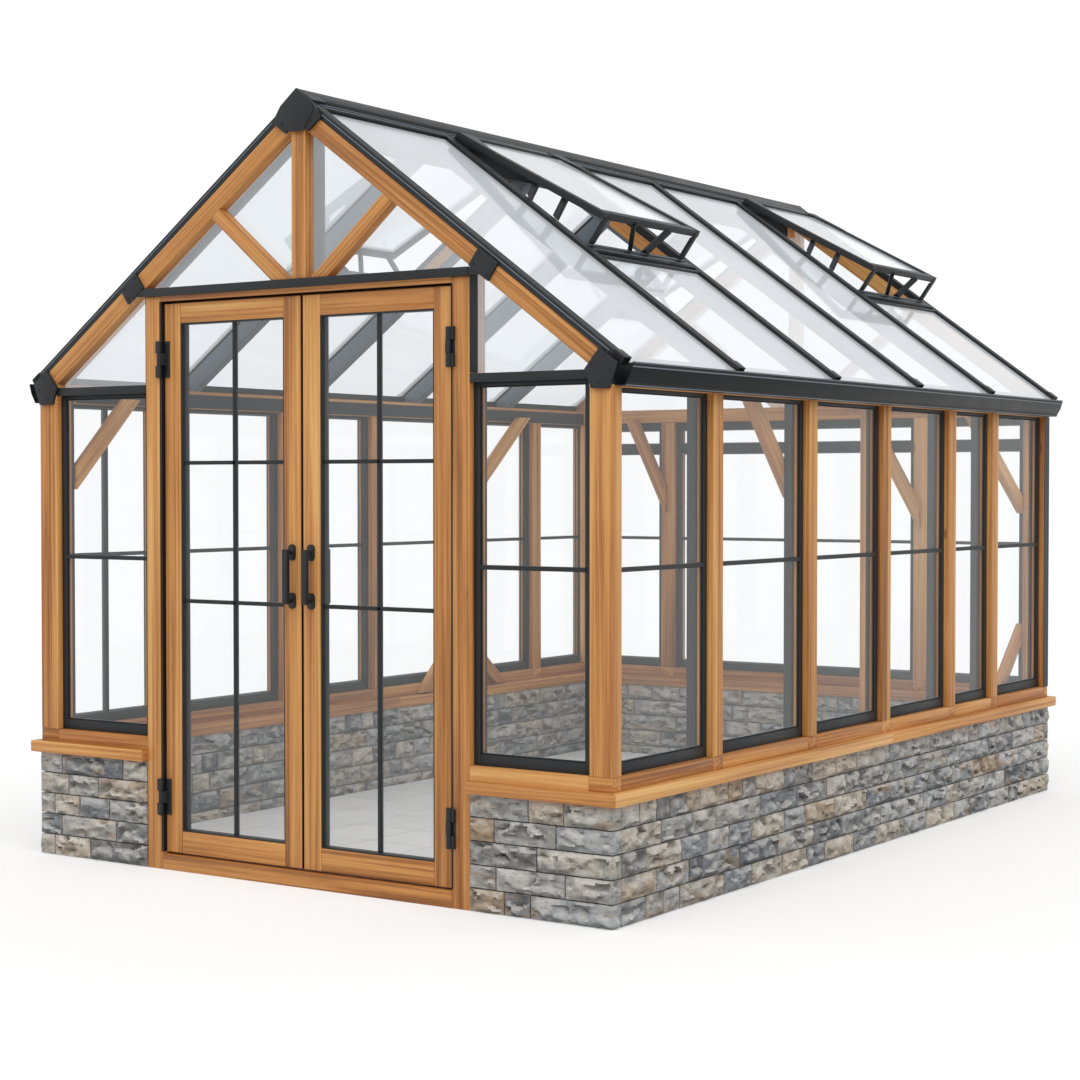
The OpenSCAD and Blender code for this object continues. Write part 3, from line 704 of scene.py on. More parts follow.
def lay_floor():
    low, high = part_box("floor_slab")
    grout_drop, thick, gap, wanted = 2 * MM, 8 * MM, 5 * MM, 0.3
    rows = round((high.y - low.y) / wanted)
    columns = round((high.x - low.x) / wanted)
    step_x, step_y = (high.x - low.x) / columns, (high.y - low.y) / rows
    centres = [(low.x + (i + 0.5) * step_x, low.y + (j + 0.5) * step_y, high.z - thick / 2)
               for i in range(columns) for j in range(rows)]
    tiles = grow(tile_tree(), "floor_tiles", centres, Length=step_x - gap, Width=step_y - gap,
                 Thickness=thick, Seed=3, Finish=TILE)
    placed(tiles)
    slab = Gathered("floor_grout")
    slab.box(low, (high.x, high.y, high.z - grout_drop), 0.0)
    slab.made(GROUT, "tile", ["floor_slab"])
    print("tiles:", len(centres))


lay_floor()

# %% [markdown]
# ## Stone wall
# Ledge stone is laid dry-looking in level courses. Each stone is a box with a fine grid on it, and
# carries its own random number. At a corner the stones of the gable walls run through, so that
# one stone shows on both sides. A Geometry Nodes tree then splits the faces: it pushes points in
# and out along level ledges, least at the edges, and lets the outline wander a little.

# %% Split the faces of stones
def split_tree():
    depths = {"Relief": 0.02, "Limit": 0.01, "Wander": 0.004}
    tree = Grower("split_faces", {**depths, "Seed": 0, "Finish": None})
    number = tree.stored("stone")
    out = tree.stored("out", "FLOAT_VECTOR")
    inner = tree.stored("inner")
    offset = tree.node("ShaderNodeCombineXYZ", {}, {
        0: number * 61.0, 1: number * 23.0, 2: number * 47.0 + tree.given("Seed")})
    ledges = tree.noise(tree.place(), (8.0, 8.0, 24.0), 2.0, 0.55, offset)
    chips = tree.facets(tree.place(), (17.0, 17.0, 27.0), offset)
    height = ((ledges - 0.5) * 1.1 + chips * 0.62 + 0.2) * inner
    free, limit = height * tree.given("Relief"), tree.given("Limit")
    depth = free.maths("MAXIMUM", free.maths("MINIMUM", free, limit), limit * -1.0)
    push = tree.scaled(out, depth)
    wild = tree.noise(tree.place(), (34.0, 34.0, 34.0), 2.0, 0.6, offset, out=1)
    drift = tree.scaled(tree.vectors("SUBTRACT", wild, (0.5, 0.5, 0.5)), tree.given("Wander"))
    marked = tree.marked(tree.given("Geometry"), "relief", height)
    moved = tree.node("GeometryNodeSetPosition", {}, {
        "Geometry": marked, "Offset": tree.vectors("ADD", push, drift)})
    return tree.grown(moved)


SPLIT = split_tree()

# %% Gather stones
EDGE_RISE = 17 * MM


class Masonry:
    """Stones as boxes with a grid on each face, gathered into one start mesh."""

    def __init__(self, cell):
        self.cell = cell
        self.points, self.faces, self.out, self.inner, self.number = [], [], [], [], []

    def stone(self, low, high, shown):
        """A stone between two corners; shown lists its open faces as (axis, sign)."""
        counts = [max(1, round((high[k] - low[k]) / self.cell)) for k in range(3)]
        if len({axis for axis, _ in shown}) == 1:
            counts[shown[0][0]] = 1
        index, number = {}, draw.random()

        def point(place):
            if place not in index:
                index[place] = len(self.points)
                at = [low[k] + (high[k] - low[k]) * place[k] / counts[k] for k in range(3)]
                push, depth = Vector((0, 0, 0)), 0.0
                for axis, sign in shown:
                    if place[axis] == (counts[axis] if sign > 0 else 0):
                        steps = [(high[k] - low[k]) / counts[k] for k in range(3)]
                        reach = min(min(place[k], counts[k] - place[k]) * steps[k]
                                    for k in range(3) if k != axis)
                        share = min(1.0, reach / EDGE_RISE)
                        if share >= depth:
                            depth = share
                            push = Vector([sign if k == axis else 0.0 for k in range(3)])
                self.points.append(tuple(at))
                self.out.append(tuple(push))
                self.inner.append(depth)
                self.number.append(number)
            return index[place]

        for axis in range(3):
            a, b = [(1, 2), (2, 0), (0, 1)][axis]
            for sign in (-1, 1):
                level = counts[axis] if sign > 0 else 0
                for i in range(counts[a]):
                    for j in range(counts[b]):
                        ring = []
                        for da, db in ((0, 0), (1, 0), (1, 1), (0, 1)):
                            place = [0, 0, 0]
                            place[axis], place[a], place[b] = level, i + da, j + db
                            ring.append(point(tuple(place)))
                        self.faces.append(ring if sign > 0 else ring[::-1])

    def built(self, name, relief, wander, seed):
        stored = {"out": self.out, "inner": self.inner, "stone": self.number}
        wall = grow(SPLIT, name, self.points, [], self.faces, stored, Relief=relief, Wander=wander,
                    Limit=FACE_BACK - MM, Seed=seed, Finish=STONE)
        return placed(wall, smooth=48.0)


def course_cuts(start, end, rng, before):
    """Where the joints of one course fall, clear of the joints of the course below."""
    shortest, longest, clear = 0.085, 0.33, 0.03
    cuts = [start]
    while end - cuts[-1] > longest:
        for _ in range(30):
            cut = cuts[-1] + shortest + (longest - shortest) * rng.random() ** 1.4
            if end - cut > shortest and all(abs(cut - other) > clear for other in before):
                break
        cuts.append(cut)
    return cuts + [end]


print("a stone's face rises over", EDGE_RISE, "m from its edges")

# %% Measure the walls
COURSES = 5
JOINT = 4.5 * MM
STONE_DEEP = 34 * MM
FACE_BACK = 13 * MM
QUOIN_RETURN = 62 * MM

wall_low, wall_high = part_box("back_stone_wall")
HALF_W, HALF_L, WALL_H = wall_high.x, wall_high.y, wall_high.z
WALL_T = wall_high.y - wall_low.y
DOOR_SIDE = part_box("door_jambs")[1].x
course_h = WALL_H / COURSES
print("courses of", round(course_h, 4), "m")


# %% Lay the walls
def course_box(first, last, course, along):
    """A stone's room in its course, less half a joint all round; its depth is still open."""
    low, high = [0, 0, course * course_h + JOINT / 2], [0, 0, (course + 1) * course_h - JOINT / 2]
    low[along], high[along] = first + JOINT / 2, last - JOINT / 2
    return low, high


def outer_wall(axis, sign, start, end, corners, cell, rng):
    """Stones on one outer face. The face looks along axis with that sign; corners says which of
    its two ends meet another face. The stones of the gable walls run through at a corner and show
    their ends there, and those of the long walls stop behind them."""
    masonry = Masonry(cell)
    face = HALF_W if axis == 0 else HALF_L
    along = 1 - axis
    before = []
    runs_through = axis == 1
    for course in range(COURSES):
        a, b = start, end
        if corners[0] and not runs_through:
            a += QUOIN_RETURN
        if corners[1] and not runs_through:
            b -= QUOIN_RETURN
        cuts = course_cuts(a, b, rng, before)
        before = cuts[1:-1]
        for first, last in zip(cuts, cuts[1:]):
            shown = [(axis, sign)]
            quoin = False
            if runs_through and corners[0] and first == a:
                shown.append((along, -1))
                quoin = True
            if runs_through and corners[1] and last == b:
                shown.append((along, 1))
                quoin = True
            deep = QUOIN_RETURN if quoin else STONE_DEEP
            low, high = course_box(first, last, course, along)
            if quoin and (along, -1) in shown:
                low[along] = first + FACE_BACK
            if quoin and (along, 1) in shown:
                high[along] = last - FACE_BACK
            low[axis], high[axis] = span(sign, face - FACE_BACK, face - deep)
            masonry.stone(low, high, shown)
    return masonry


def inner_wall(axis, sign, start, end, rng, masonry):
    """Stones on one inner face, from the floor up; they butt at the corners."""
    face = (HALF_W if axis == 0 else HALF_L) - WALL_T
    along, before = 1 - axis, []
    for course in range(COURSES):
        cuts = course_cuts(start, end, rng, before)
        before = cuts[1:-1]
        for first, last in zip(cuts, cuts[1:]):
            low, high = course_box(first, last, course, along)
            low[axis], high[axis] = span(sign, face + FACE_BACK, face + STONE_DEEP)
            masonry.stone(low, high, [(axis, -sign)])


def lay_walls():
    fine, relief, wander = 8.5 * MM, 30 * MM, 5 * MM
    rng = random.Random(41)
    inner_w, inner_l = HALF_W - WALL_T, HALF_L - WALL_T
    walls = [
        ("right", 0, 1, (-HALF_L, HALF_L), (-inner_l, inner_l), (True, True)),
        ("left", 0, -1, (-HALF_L, HALF_L), (-inner_l, inner_l), (True, True)),
        ("back", 1, 1, (-HALF_W, HALF_W), (-inner_w, inner_w), (True, True)),
        ("front_right", 1, -1, (DOOR_SIDE, HALF_W), (DOOR_SIDE, inner_w), (False, True)),
        ("front_left", 1, -1, (-HALF_W, -DOOR_SIDE), (-inner_w, -DOOR_SIDE), (True, False)),
    ]
    for seed, (name, axis, sign, ends, inner, corners) in enumerate(walls, 1):
        wall = outer_wall(axis, sign, *ends, corners, fine, rng)
        inner_wall(axis, sign, *inner, rng, wall)
        wall.built(name + "_wall_stones", relief, wander, seed)
    core = Gathered("wall_core")
    inset = 31 * MM
    for side in (-1, 1):
        x0, x1 = span(side, HALF_W - inset, HALF_W - WALL_T + inset)
        core.box((x0, -HALF_L + inset, 0), (x1, HALF_L - inset, WALL_H), 0.0)
        x0, x1 = span(side, DOOR_SIDE, HALF_W - WALL_T + inset)
        core.box((x0, -HALF_L + inset, 0), (x1, -HALF_L + WALL_T - inset, WALL_H), 0.0)
    core.box((-HALF_W + WALL_T - inset, HALF_L - WALL_T + inset, 0),
             (HALF_W - WALL_T + inset, HALF_L - inset, WALL_H), 0.0)
    core.made(DARK_JOINT, "stone",
              ["front_stone_walls", "left_stone_wall", "right_stone_wall", "back_stone_wall"])


lay_walls()

# %% [markdown]
# ## Sill boards and bottom plates
# A broad board caps the wall, mitred at the corners, and a plate lies on it under the posts. The
# plate is cut in line with each stud. Separate boards with eased edges leave real joints, and each
# board gets its own grain.

# %% Cut the sills
def sill_boards():
    sills = Gathered("sills_finished")
    low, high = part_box("right_sill")
    cap_high = solid_box(solids_of("right_sill")[0])[1].z
    out_x, in_x = high.x, low.x
    out_y, in_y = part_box("back_sill")[1].y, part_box("back_sill")[0].y
    middle = (STUDS["right"][2][0] + STUDS["right"][2][1]) / 2
    rise = (0, 0, cap_high - low.z)
    for side in (-1, 1):
        for y0, y1 in ((-out_y, middle), (middle, out_y)):
            inner0 = -in_y if y0 < -in_y else y0
            inner1 = in_y if y1 > in_y else y1
            board = [(side * out_x, y0, low.z), (side * out_x, y1, low.z),
                     (side * in_x, inner1, low.z), (side * in_x, inner0, low.z)]
            sills.pushed(board, rise, 3 * MM, 3)
        front = [(side * DOOR_SIDE, -out_y, low.z), (side * out_x, -out_y, low.z),
                 (side * in_x, -in_y, low.z), (side * DOOR_SIDE, -in_y, low.z)]
        sills.pushed(front, rise, 3 * MM, 3)
    back = [(-out_x, out_y, low.z), (out_x, out_y, low.z), (in_x, in_y, low.z), (-in_x, in_y, low.z)]
    sills.pushed(back, rise, 3 * MM, 3)
    print("sill boards from", round(low.z, 3), "to", round(cap_high, 3))
    return sills, cap_high, high.z


def plate_boards(sills, bottom, top):
    """The plate in pieces: under each stud and between the studs."""
    joint = 0.5 * MM
    for name, side in (("right", 1), ("left", -1)):
        cuts = [-FRAME_Y, -FRAME_Y + CORNER_W] + [y for stud in STUDS[name] for y in stud]
        cuts += [FRAME_Y - CORNER_W, FRAME_Y]
        x0, x1 = span(side, FRAME_X, FRAME_X - POST)
        for a, b in zip(cuts, cuts[1:]):
            sills.box((x0, a + joint, bottom), (x1, b - joint, top))
    for side in (-1, 1):
        x0, x1 = span(side, DOOR_SIDE, FRAME_X - POST - joint)
        sills.box((x0, -FRAME_Y, bottom), (x1, -FRAME_Y + POST, top))
        sills.box((x0, FRAME_Y - POST, bottom), (x1, FRAME_Y, top))
        x0, x1 = span(side, JAMB_IN, DOOR_SIDE - joint)
        sills.box((x0, FRAME_Y - POST, bottom), (x1, FRAME_Y, top))
    sills.box((-JAMB_IN + joint, FRAME_Y - POST, bottom), (JAMB_IN - joint, FRAME_Y, top))


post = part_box("corner_posts")[1]
FRAME_X, FRAME_Y, EAVE_Z, BASE_Z = post.x, post.y, post.z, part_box("corner_posts")[0].z
JAMB_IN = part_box("right_door_frame")[1].x + 5 * MM
POST = FRAME_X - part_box("front_window_frames")[1].x
STUDS = {}
for wall in ("right", "left"):
    ends = [solid_box(s) for s in solids_of(wall + "_wall_studs")]
    STUDS[wall] = sorted((low.y, high.y) for low, high in ends)
CORNER_W = 55 * MM
sills, cap_top, plate_top = sill_boards()
plate_boards(sills, cap_top, plate_top)
sills.made(CEDAR, "timber", ["front_sills", "left_sill", "right_sill", "back_sill"])

# %% [markdown]
# ## Posts and studs
# Each upright is two boards side by side with a dark groove between them. The narrow board of a
# corner post lies a little back. A strip deep in the groove closes it, so no light comes through.

# %% Stand the posts
def two_boards(timber, low, high, axis, share, back=0.0, face=0):
    """An upright in two boards, divided across axis at that share of its width. The first board
    lies back from the face at low (face -1) or at high (face 1) of the other axis."""
    other, groove = 1 - axis, 2 * MM
    cut = low[axis] + (high[axis] - low[axis]) * share
    first_low, first_high = Vector(low), Vector(high)
    first_high[axis] = cut - groove / 2
    if face < 0:
        first_low[other] += back
    if face > 0:
        first_high[other] -= back
    timber.box(first_low, first_high)
    second_low = Vector(low)
    second_low[axis] = cut + groove / 2
    timber.box(second_low, high)
    strip_low, strip_high = Vector(low), Vector(high)
    strip_low[axis], strip_high[axis] = cut - groove / 2, cut + groove / 2
    strip_low[other] += 8 * MM
    strip_high[other] -= 8 * MM
    timber.box(strip_low, strip_high, 0.0)


def stand_posts():
    for wall in ("right", "left"):
        studs = Gathered(wall + "_studs_finished")
        for solid in solids_of(wall + "_wall_studs"):
            two_boards(studs, *solid_box(solid), 1, 0.58)
        studs.made(CEDAR, "timber", [wall + "_wall_studs"])
    corners = Gathered("corner_posts_finished")
    for solid in solids_of("corner_posts"):
        low, high = solid_box(solid)
        if high.x - low.x < 60 * MM:
            corners.add(solid)
            continue
        if low.x > 0:
            two_boards(corners, low, high, 0, 0.41, back=4 * MM, face=-1 if low.y < 0 else 1)
        else:
            two_boards(corners, low, high, 0, 0.6)
    corners.made(CEDAR, "timber", ["corner_posts"])
    for node in ("back_wall_posts", "wall_plates", "back_tie_beam", "door_jambs", "door_head",
                 "door_threshold", "wall_braces", "gable_rafters", "ridge_board",
                 "king_posts", "gable_braces"):
        dressed(node, CEDAR, "timber")


stand_posts()

# %% [markdown]
# ## Bars along lines
# Glazing bars, beads, seals and linings are all one kind of thing: a slim bar with rounded edges
# along a straight line. One Geometry Nodes tree sweeps them all. Each line carries the way its
# face looks, which becomes the normal of its curve, so the bar never twists.

# %% Sweep bars along lines
def bar_tree():
    tree = Grower("bars_on_lines", {"Width": 0.015, "Depth": 0.02, "Rounding": 0.001, "Finish": None})
    line = tree.node("GeometryNodeMeshToCurve", {}, {0: tree.given("Geometry")})
    facing, along, start = [tree.stored(title, "FLOAT_VECTOR") for title in ("facing", "along", "start")]
    turned = tree.node("GeometryNodeSetCurveNormal", {"mode": "FREE"}, {"Curve": line, "Normal": facing})
    section = tree.node("GeometryNodeCurvePrimitiveQuadrilateral", {"mode": "RECTANGLE"}, {
        "Width": tree.given("Depth"), "Height": tree.given("Width")})
    eased = tree.node("GeometryNodeFilletCurve", {"mode": "POLY"}, {
        "Curve": section, "Count": 2, "Radius": tree.given("Rounding"), "Limit Radius": True})
    bars = tree.node("GeometryNodeCurveToMesh", {}, {
        "Curve": turned, "Profile Curve": eased, "Fill Caps": True})
    across = tree.vectors("CROSS_PRODUCT", along, facing)
    parts = [tree.dot(tree.place(), way) for way in (along, across, facing)]
    grain = tree.vectors("ADD", tree.node("ShaderNodeCombineXYZ", {}, dict(enumerate(parts))), start)
    return tree.grown(tree.marked(bars, "grain", grain, "FLOAT_VECTOR"))


BARS = bar_tree()


# %% Gather lines
class Bars:
    """Lines that become bars; each faces one way."""

    def __init__(self, name):
        self.name = name
        self.points, self.edges = [], []
        self.stored = {"facing": [], "along": [], "start": [], "board": []}

    def line(self, start, end, facing):
        self.edges.append((len(self.points), len(self.points) + 1))
        along = (Vector(end) - Vector(start)).normalized()
        shift = [draw.uniform(0, 40) for _ in range(3)]
        tone = draw.random()
        for point in (start, end):
            self.points.append(tuple(point))
            self.stored["facing"].append(tuple(facing))
            self.stored["along"].append(tuple(along))
            self.stored["start"].append(shift)
            self.stored["board"].append(tone)

    def made(self, width, depth, rounding, material, slot, body="greenhouse", nodes=()):
        piece = grow(BARS, self.name, self.points, self.edges, (), self.stored,
                     Width=width, Depth=depth, Rounding=rounding, Finish=material)
        return placed(piece, nodes, body)


print("lines can be gathered")

# %% [markdown]
# ## Windows
# Each window is a black metal frame with a thin dark seal round the glass, slim glazing bars,
# timber beads behind its sides, and a grey strip behind its top and bottom. Beads and bars follow
# the panes, which the packed model gives.

# %% Frame the windows
for node in ("front_window_frames", "left_window_frames", "right_window_frames", "back_window_frames",
             "cross_bars", "eave_beams"):
    dressed(node, BLACK, "metal", 1.2 * MM)


class Pane:
    """An upright pane, in terms of its wall: u along it, z up, and out through its face."""

    def __init__(self, solid, axis, side):
        self.low, self.high = solid_box(solid)
        self.axis, self.side = axis, side
        self.facing = Vector((side, 0, 0)) if axis == 0 else Vector((0, side, 0))
        self.u = (self.low[1 - axis], self.high[1 - axis])
        self.z = (self.low.z, self.high.z)
        self.face = self.high[axis] if side > 0 else self.low[axis]
        self.thick = self.high[axis] - self.low[axis]

    def point(self, u, z, proud):
        """A point on the pane, that far out of its outer face."""
        place = Vector((0, 0, z))
        place[self.axis] = self.face + self.side * proud
        place[1 - self.axis] = u
        return place

    def line(self, bars, start, end, proud):
        bars.line(self.point(*start, proud), self.point(*end, proud), self.facing)

    def frame(self, bars, inset, proud):
        """Four lines round the pane: the upright ones run full height."""
        (u0, u1), (z0, z1) = self.u, self.z
        for u in (u0 + inset, u1 - inset):
            self.line(bars, (u, z0), (u, z1), proud)
        for z in (z0 + inset, z1 - inset):
            self.line(bars, (u0 + 2 * inset, z), (u1 - 2 * inset, z), proud)


WALLS = {"right_wall_glass": (0, 1), "left_wall_glass": (0, -1), "front_window_glass": (1, -1),
         "back_wall_glass": (1, 1)}
PANES = {node: [Pane(s, *WALLS[node]) for s in solids_of(node)] for node in WALLS}
print("panes:", {node: len(panes) for node, panes in PANES.items()})


# %% Bead the panes and lay their bars
BAR_LEVEL = 1.135


def bead_windows():
    seals, beads, strips = Bars("window_seals"), Bars("window_beads"), Bars("window_strips")
    for panes in PANES.values():
        for pane in panes:
            pane.frame(seals, 2.5 * MM, 1.5 * MM)
            back = -pane.thick - 4.5 * MM
            for u in (pane.u[0] + 2.5 * MM, pane.u[1] - 2.5 * MM):
                pane.line(beads, (u, pane.z[0]), (u, pane.z[1]), back)
            for z in (pane.z[0] + 2 * MM, pane.z[1] - 2 * MM):
                pane.line(strips, (pane.u[0] + 7 * MM, z), (pane.u[1] - 7 * MM, z), back)
    seals.made(5 * MM, 3 * MM, 0.8 * MM, SEAL_AND_SHADE, "metal")
    beads.made(5 * MM, 9 * MM, 1.2 * MM, CEDAR, "timber")
    strips.made(4 * MM, 9 * MM, 1 * MM, GREY, "metal")


def bar_windows():
    """The glazing bars run through the glass, so that they show alike on both faces."""
    bars = Bars("window_bars")
    for node, panes in PANES.items():
        for pane in panes:
            (u0, u1), (z0, z1) = pane.u, pane.z
            middle = -pane.thick / 2
            if z0 < BAR_LEVEL < z1:
                pane.line(bars, (u0, BAR_LEVEL), (u1, BAR_LEVEL), middle)
            if node == "back_wall_glass" and abs(u0 + u1) < 0.1 and z0 < BAR_LEVEL:
                pane.line(bars, ((u0 + u1) / 2, z0), ((u0 + u1) / 2, z1), middle)
    first = min(PANES["left_wall_glass"], key=lambda pane: pane.u[0])
    upright = sum(first.u) / 2
    first.line(bars, (upright, first.z[0]), (upright, first.z[1]), -first.thick / 2)
    bars.made(15 * MM, 24 * MM, 1.5 * MM, BLACK, "metal")


def line_studs():
    """Linings behind the frames of the right wall, beside each upright."""
    metal, timber = Bars("stud_linings"), Bars("stud_lining_boards")
    for number, pane in enumerate(sorted(PANES["right_wall_glass"], key=lambda pane: pane.u[0])):
        for u in (pane.u[0] - 13 * MM, pane.u[1] + 13 * MM):
            bars = timber if number in (2, 5) else metal
            pane.line(bars, (u, BASE_Z), (u, EAVE_Z), -pane.thick - 41 * MM)
    metal.made(26 * MM, 25 * MM, 1.2 * MM, BLACK, "metal")
    timber.made(26 * MM, 25 * MM, 2 * MM, CEDAR, "timber")


bead_windows()
bar_windows()
line_studs()

# %% [markdown]
# ## Doors
# A leaf is two full stiles with rails between them, lined in black round the glass and divided by
# slim bars. The leaves turn on their hinges, so each leaf's pieces ride on its own body. Thin dark
# sheets on the leaves and the jambs are painted shade, which makes the gaps between them read as
# clean black lines.

# %% Make the door leaves
LEAF_BAR_LEVELS = (1.486, 0.984)
SHEET = 0.4 * MM
GAP_SHADE_DEPTH = (2 * MM, 20 * MM)


def door_leaf(name):
    body = name + "_door"
    low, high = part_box(body + "_frame")
    glass_low, glass_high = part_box(body + "_glass")
    leaf = Gathered(body + "_boards")
    for x0, x1 in ((low.x, glass_low.x), (glass_high.x, high.x)):
        leaf.box((x0, low.y, low.z), (x1, high.y, high.z))
    joint, set_back = 0.4 * MM, 0.6 * MM
    x0, x1 = glass_low.x + joint, glass_high.x - joint
    for z0, z1 in ((low.z, glass_low.z), (glass_high.z, high.z)):
        leaf.box((x0, low.y + set_back, z0), (x1, high.y - set_back, z1))
    leaf.made(CEDAR, "timber", [body + "_frame"], body)
    pane = Pane(solids_of(body + "_glass")[0], 1, -1)
    lining = Bars(body + "_lining")
    pane.frame(lining, 2.5 * MM, -pane.thick / 2)
    lining.made(5 * MM, 41 * MM, 1 * MM, BLACK, "metal", body)
    bars = Bars(body + "_bars")
    upright = sum(pane.u) / 2
    (u0, u1), (z0, z1) = pane.u, pane.z
    pane.line(bars, (upright, z0), (upright, z1), -pane.thick / 2)
    for level in LEAF_BAR_LEVELS:
        pane.line(bars, (u0, level), (u1, level), -pane.thick / 2)
    bars.made(14 * MM, 16 * MM, 1.5 * MM, BLACK, "metal", body)
    for part in ("_handles", "_hinges"):
        dressed(body + part, BLACK, "metal", 1.0 * MM, body=body)
    # A thin dark sheet on the leaf's sides and top is painted shade, so the gaps round the leaf read black.
    gap_shade = Gathered(body + "_edging")
    y0, y1 = low.y + GAP_SHADE_DEPTH[0], low.y + GAP_SHADE_DEPTH[1]
    for x in (low.x - SHEET, high.x):
        gap_shade.box((x, y0, low.z), (x + SHEET, y1, high.z), 0.0)
    gap_shade.box((low.x, y0, high.z), (high.x, y1, high.z + SHEET), 0.0)
    gap_shade.made(SEAL_AND_SHADE, "metal", (), body)
    print("leaf from", round(low.x, 3), "to", round(high.x, 3))


def shade_doorway_gaps():
    """Thin dark sheets on the jambs and the head, as painted shade in the gaps round the leaves."""
    seals, front_wide = Gathered("doorway_seals"), 6.5 * MM
    low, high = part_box("left_door_frame")
    reach = JAMB_IN
    lintel = solids_of("door_head")[0]
    head = min(v.co.z for v in lintel.verts if v.co.y < -FRAME_Y + 5 * MM)
    for side in (-1, 1):
        x0, x1 = span(side, reach - SHEET, reach)
        seals.box((x0, -FRAME_Y + 2 * MM, low.z), (x1, high.y, head), 0.0)
        x0, x1 = span(side, reach, reach + front_wide)
        seals.box((x0, -FRAME_Y - SHEET, low.z), (x1, -FRAME_Y + 1 * MM, head), 0.0)
    seals.box((-reach, -FRAME_Y + 2 * MM, head - SHEET), (reach, high.y, head), 0.0)
    seals.made(SEAL_AND_SHADE, "metal")


def plate_hinges():
    """A flat plate behind the three knuckles of each hinge, which screws to the jamb."""
    plates = Gathered("hinge_plates")
    for name, side in (("left", -1), ("right", 1)):
        for solid in solids_of(name + "_door_hinges"):
            low, high = solid_box(solid)
            x0, x1 = span(side, JAMB_IN, JAMB_IN + 17.5 * MM)
            plates.box((x0, -FRAME_Y - 1.6 * MM, low.z), (x1, -FRAME_Y, high.z), 0.4 * MM)
    plates.made(BLACK, "metal")


door_leaf("left")
door_leaf("right")
shade_doorway_gaps()
plate_hinges()
dressed("hinge_brackets", BLACK, "metal", 0.8 * MM)

# %% [markdown]
# ## Roof metal
# Roof bars have two grooves along their tops and end in square blocks over the gutter. Their
# places follow the slope, so one helper turns a distance down the roof, a place along it and a
# height off it into a point.

# %% Find the slope of the roof
right_bar = solids_of("roof_bars")[-1]
slope_edge = max(right_bar.edges, key=lambda e: e.calc_length())
DOWN = (slope_edge.verts[1].co - slope_edge.verts[0].co).normalized()
DOWN = DOWN if DOWN.z < 0 else -DOWN
OUT = Vector((-DOWN.z, 0, DOWN.x))
RIDGE_Z = max(v.co.dot(OUT) for v in right_bar.verts) / OUT.z


def on_roof(s, y, h, side=1):
    """A point that far down from the ridge and that far off the faces of the bars."""
    place = DOWN * s + OUT * h
    return Vector((side * place.x, y, RIDGE_Z + place.z))


def down_roof(point):
    """How far down from the ridge a point lies, on either side."""
    return (Vector((abs(point.x), 0, point.z)) - Vector((0, 0, RIDGE_Z))).dot(DOWN)


def on_slope(y, side, *places):
    """Points of an outline across the roof: each place is a distance down and a height off it."""
    return [on_roof(s, y, h, side) for s, h in places]


def facing_out(side):
    return Vector((side * OUT.x, 0, OUT.z))


print("pitch", round(math.degrees(math.acos(DOWN.x)), 2), "ridge at", round(RIDGE_Z, 4))


# %% Lay the roof bars
def roof_bar_section(y0, y1, thick, side, s):
    """The outline of a bar with two grooves, at a distance s down the roof."""
    wide, deep = 3.5 * MM, 2.5 * MM
    grooves = [y0 + (y1 - y0) * share for share in (0.27, 0.73)]
    outline = [(y0, -thick), (y0, 0)]
    for centre in grooves:
        outline += [(centre - wide / 2, 0), (centre - wide / 2, -deep), (centre + wide / 2, -deep),
                    (centre + wide / 2, 0)]
    outline += [(y1, 0), (y1, -thick)]
    return [on_roof(s, y, h, side) for y, h in outline]


def lay_roof_bars():
    bars = Gathered("roof_bars_finished")
    blocks = Gathered("roof_bar_blocks")
    block, thick, proud = 46 * MM, 28 * MM, 4 * MM
    for solid in solids_of("roof_bars"):
        low, high = solid_box(solid)
        side = 1 if high.x > 0 and low.x > -0.1 else -1
        reach = [down_roof(v.co) for v in solid.verts]
        section = roof_bar_section(low.y, high.y, thick, side, min(reach))
        run = on_roof(max(reach), 0, 0, side) - on_roof(min(reach), 0, 0, side)
        bars.pushed(section, run, 0.8 * MM, 1)
        middle, half = (low.y + high.y) / 2, (high.y - low.y) / 2 + 2 * MM
        y0, y1 = max(middle - half, -FRAME_Y), min(middle + half, FRAME_Y)
        start = max(reach) - block
        corners = [on_roof(start, y, h, side)
                   for y, h in ((y0, -thick), (y0, proud), (y1, proud), (y1, -thick))]
        run = on_roof(block, 0, 0, side) - on_roof(0, 0, 0, side)
        blocks.pushed(corners, run, 1.5 * MM, 2)
    bars.made(BLACK, "metal", ["roof_bars"])
    blocks.made(BLACK, "metal")


lay_roof_bars()
for node, coat in (("roof_rails", DARK), ("vent_sashes", BLACK), ("common_rafters", GREY),
                   ("ridge_cap", BLACK)):
    dressed(node, coat, "metal", 1.2 * MM)
dressed("gutters", DARK, "metal", 0.8 * MM, angle=12.0)
dressed("gusset_plates", BLACK, "metal", 1.5 * MM)

# %% [markdown]
# ## Trim of the roof and the eaves
# Thin ribs, seals and lips break up the broad metal faces. The ribs and lips are pale grey as
# painted highlight, where they catch lines of light, and dark strips in the gutter grooves are
# painted shade. They are bars along lines again, now laid out on the slope. Black covers close the
# back corner posts.

# %% Find the bays of the roof
def roof_bays():
    """For each side, the clear bays between the roof bars."""
    edges = sorted((solid_box(s)[0].y, solid_box(s)[1].y) for s in solids_of("roof_bars"))[::2]
    return [(side, a[1], b[0]) for side in (-1, 1) for a, b in zip(edges, edges[1:])]


def vent_bays():
    """The bays that a vent fills."""
    sashes = [solid_box(s) for s in solids_of("vent_sashes")]
    return [(side, y0, y1) for side, y0, y1 in roof_bays()
            if any(abs(low.y - y0) < 0.03 and low.x * side > 0 for low, high in sashes)]


def under_roof(x):
    """The height of the rafters' underside at a distance from the middle."""
    timber = max((v.co for v in solids_of("gable_rafters")[-1].verts), key=lambda c: -c.dot(OUT))
    return timber.z + (abs(timber.x) - abs(x)) * -DOWN.z / DOWN.x


print("bays of the roof:", len(roof_bays()), "of which with a vent:", len(vent_bays()))


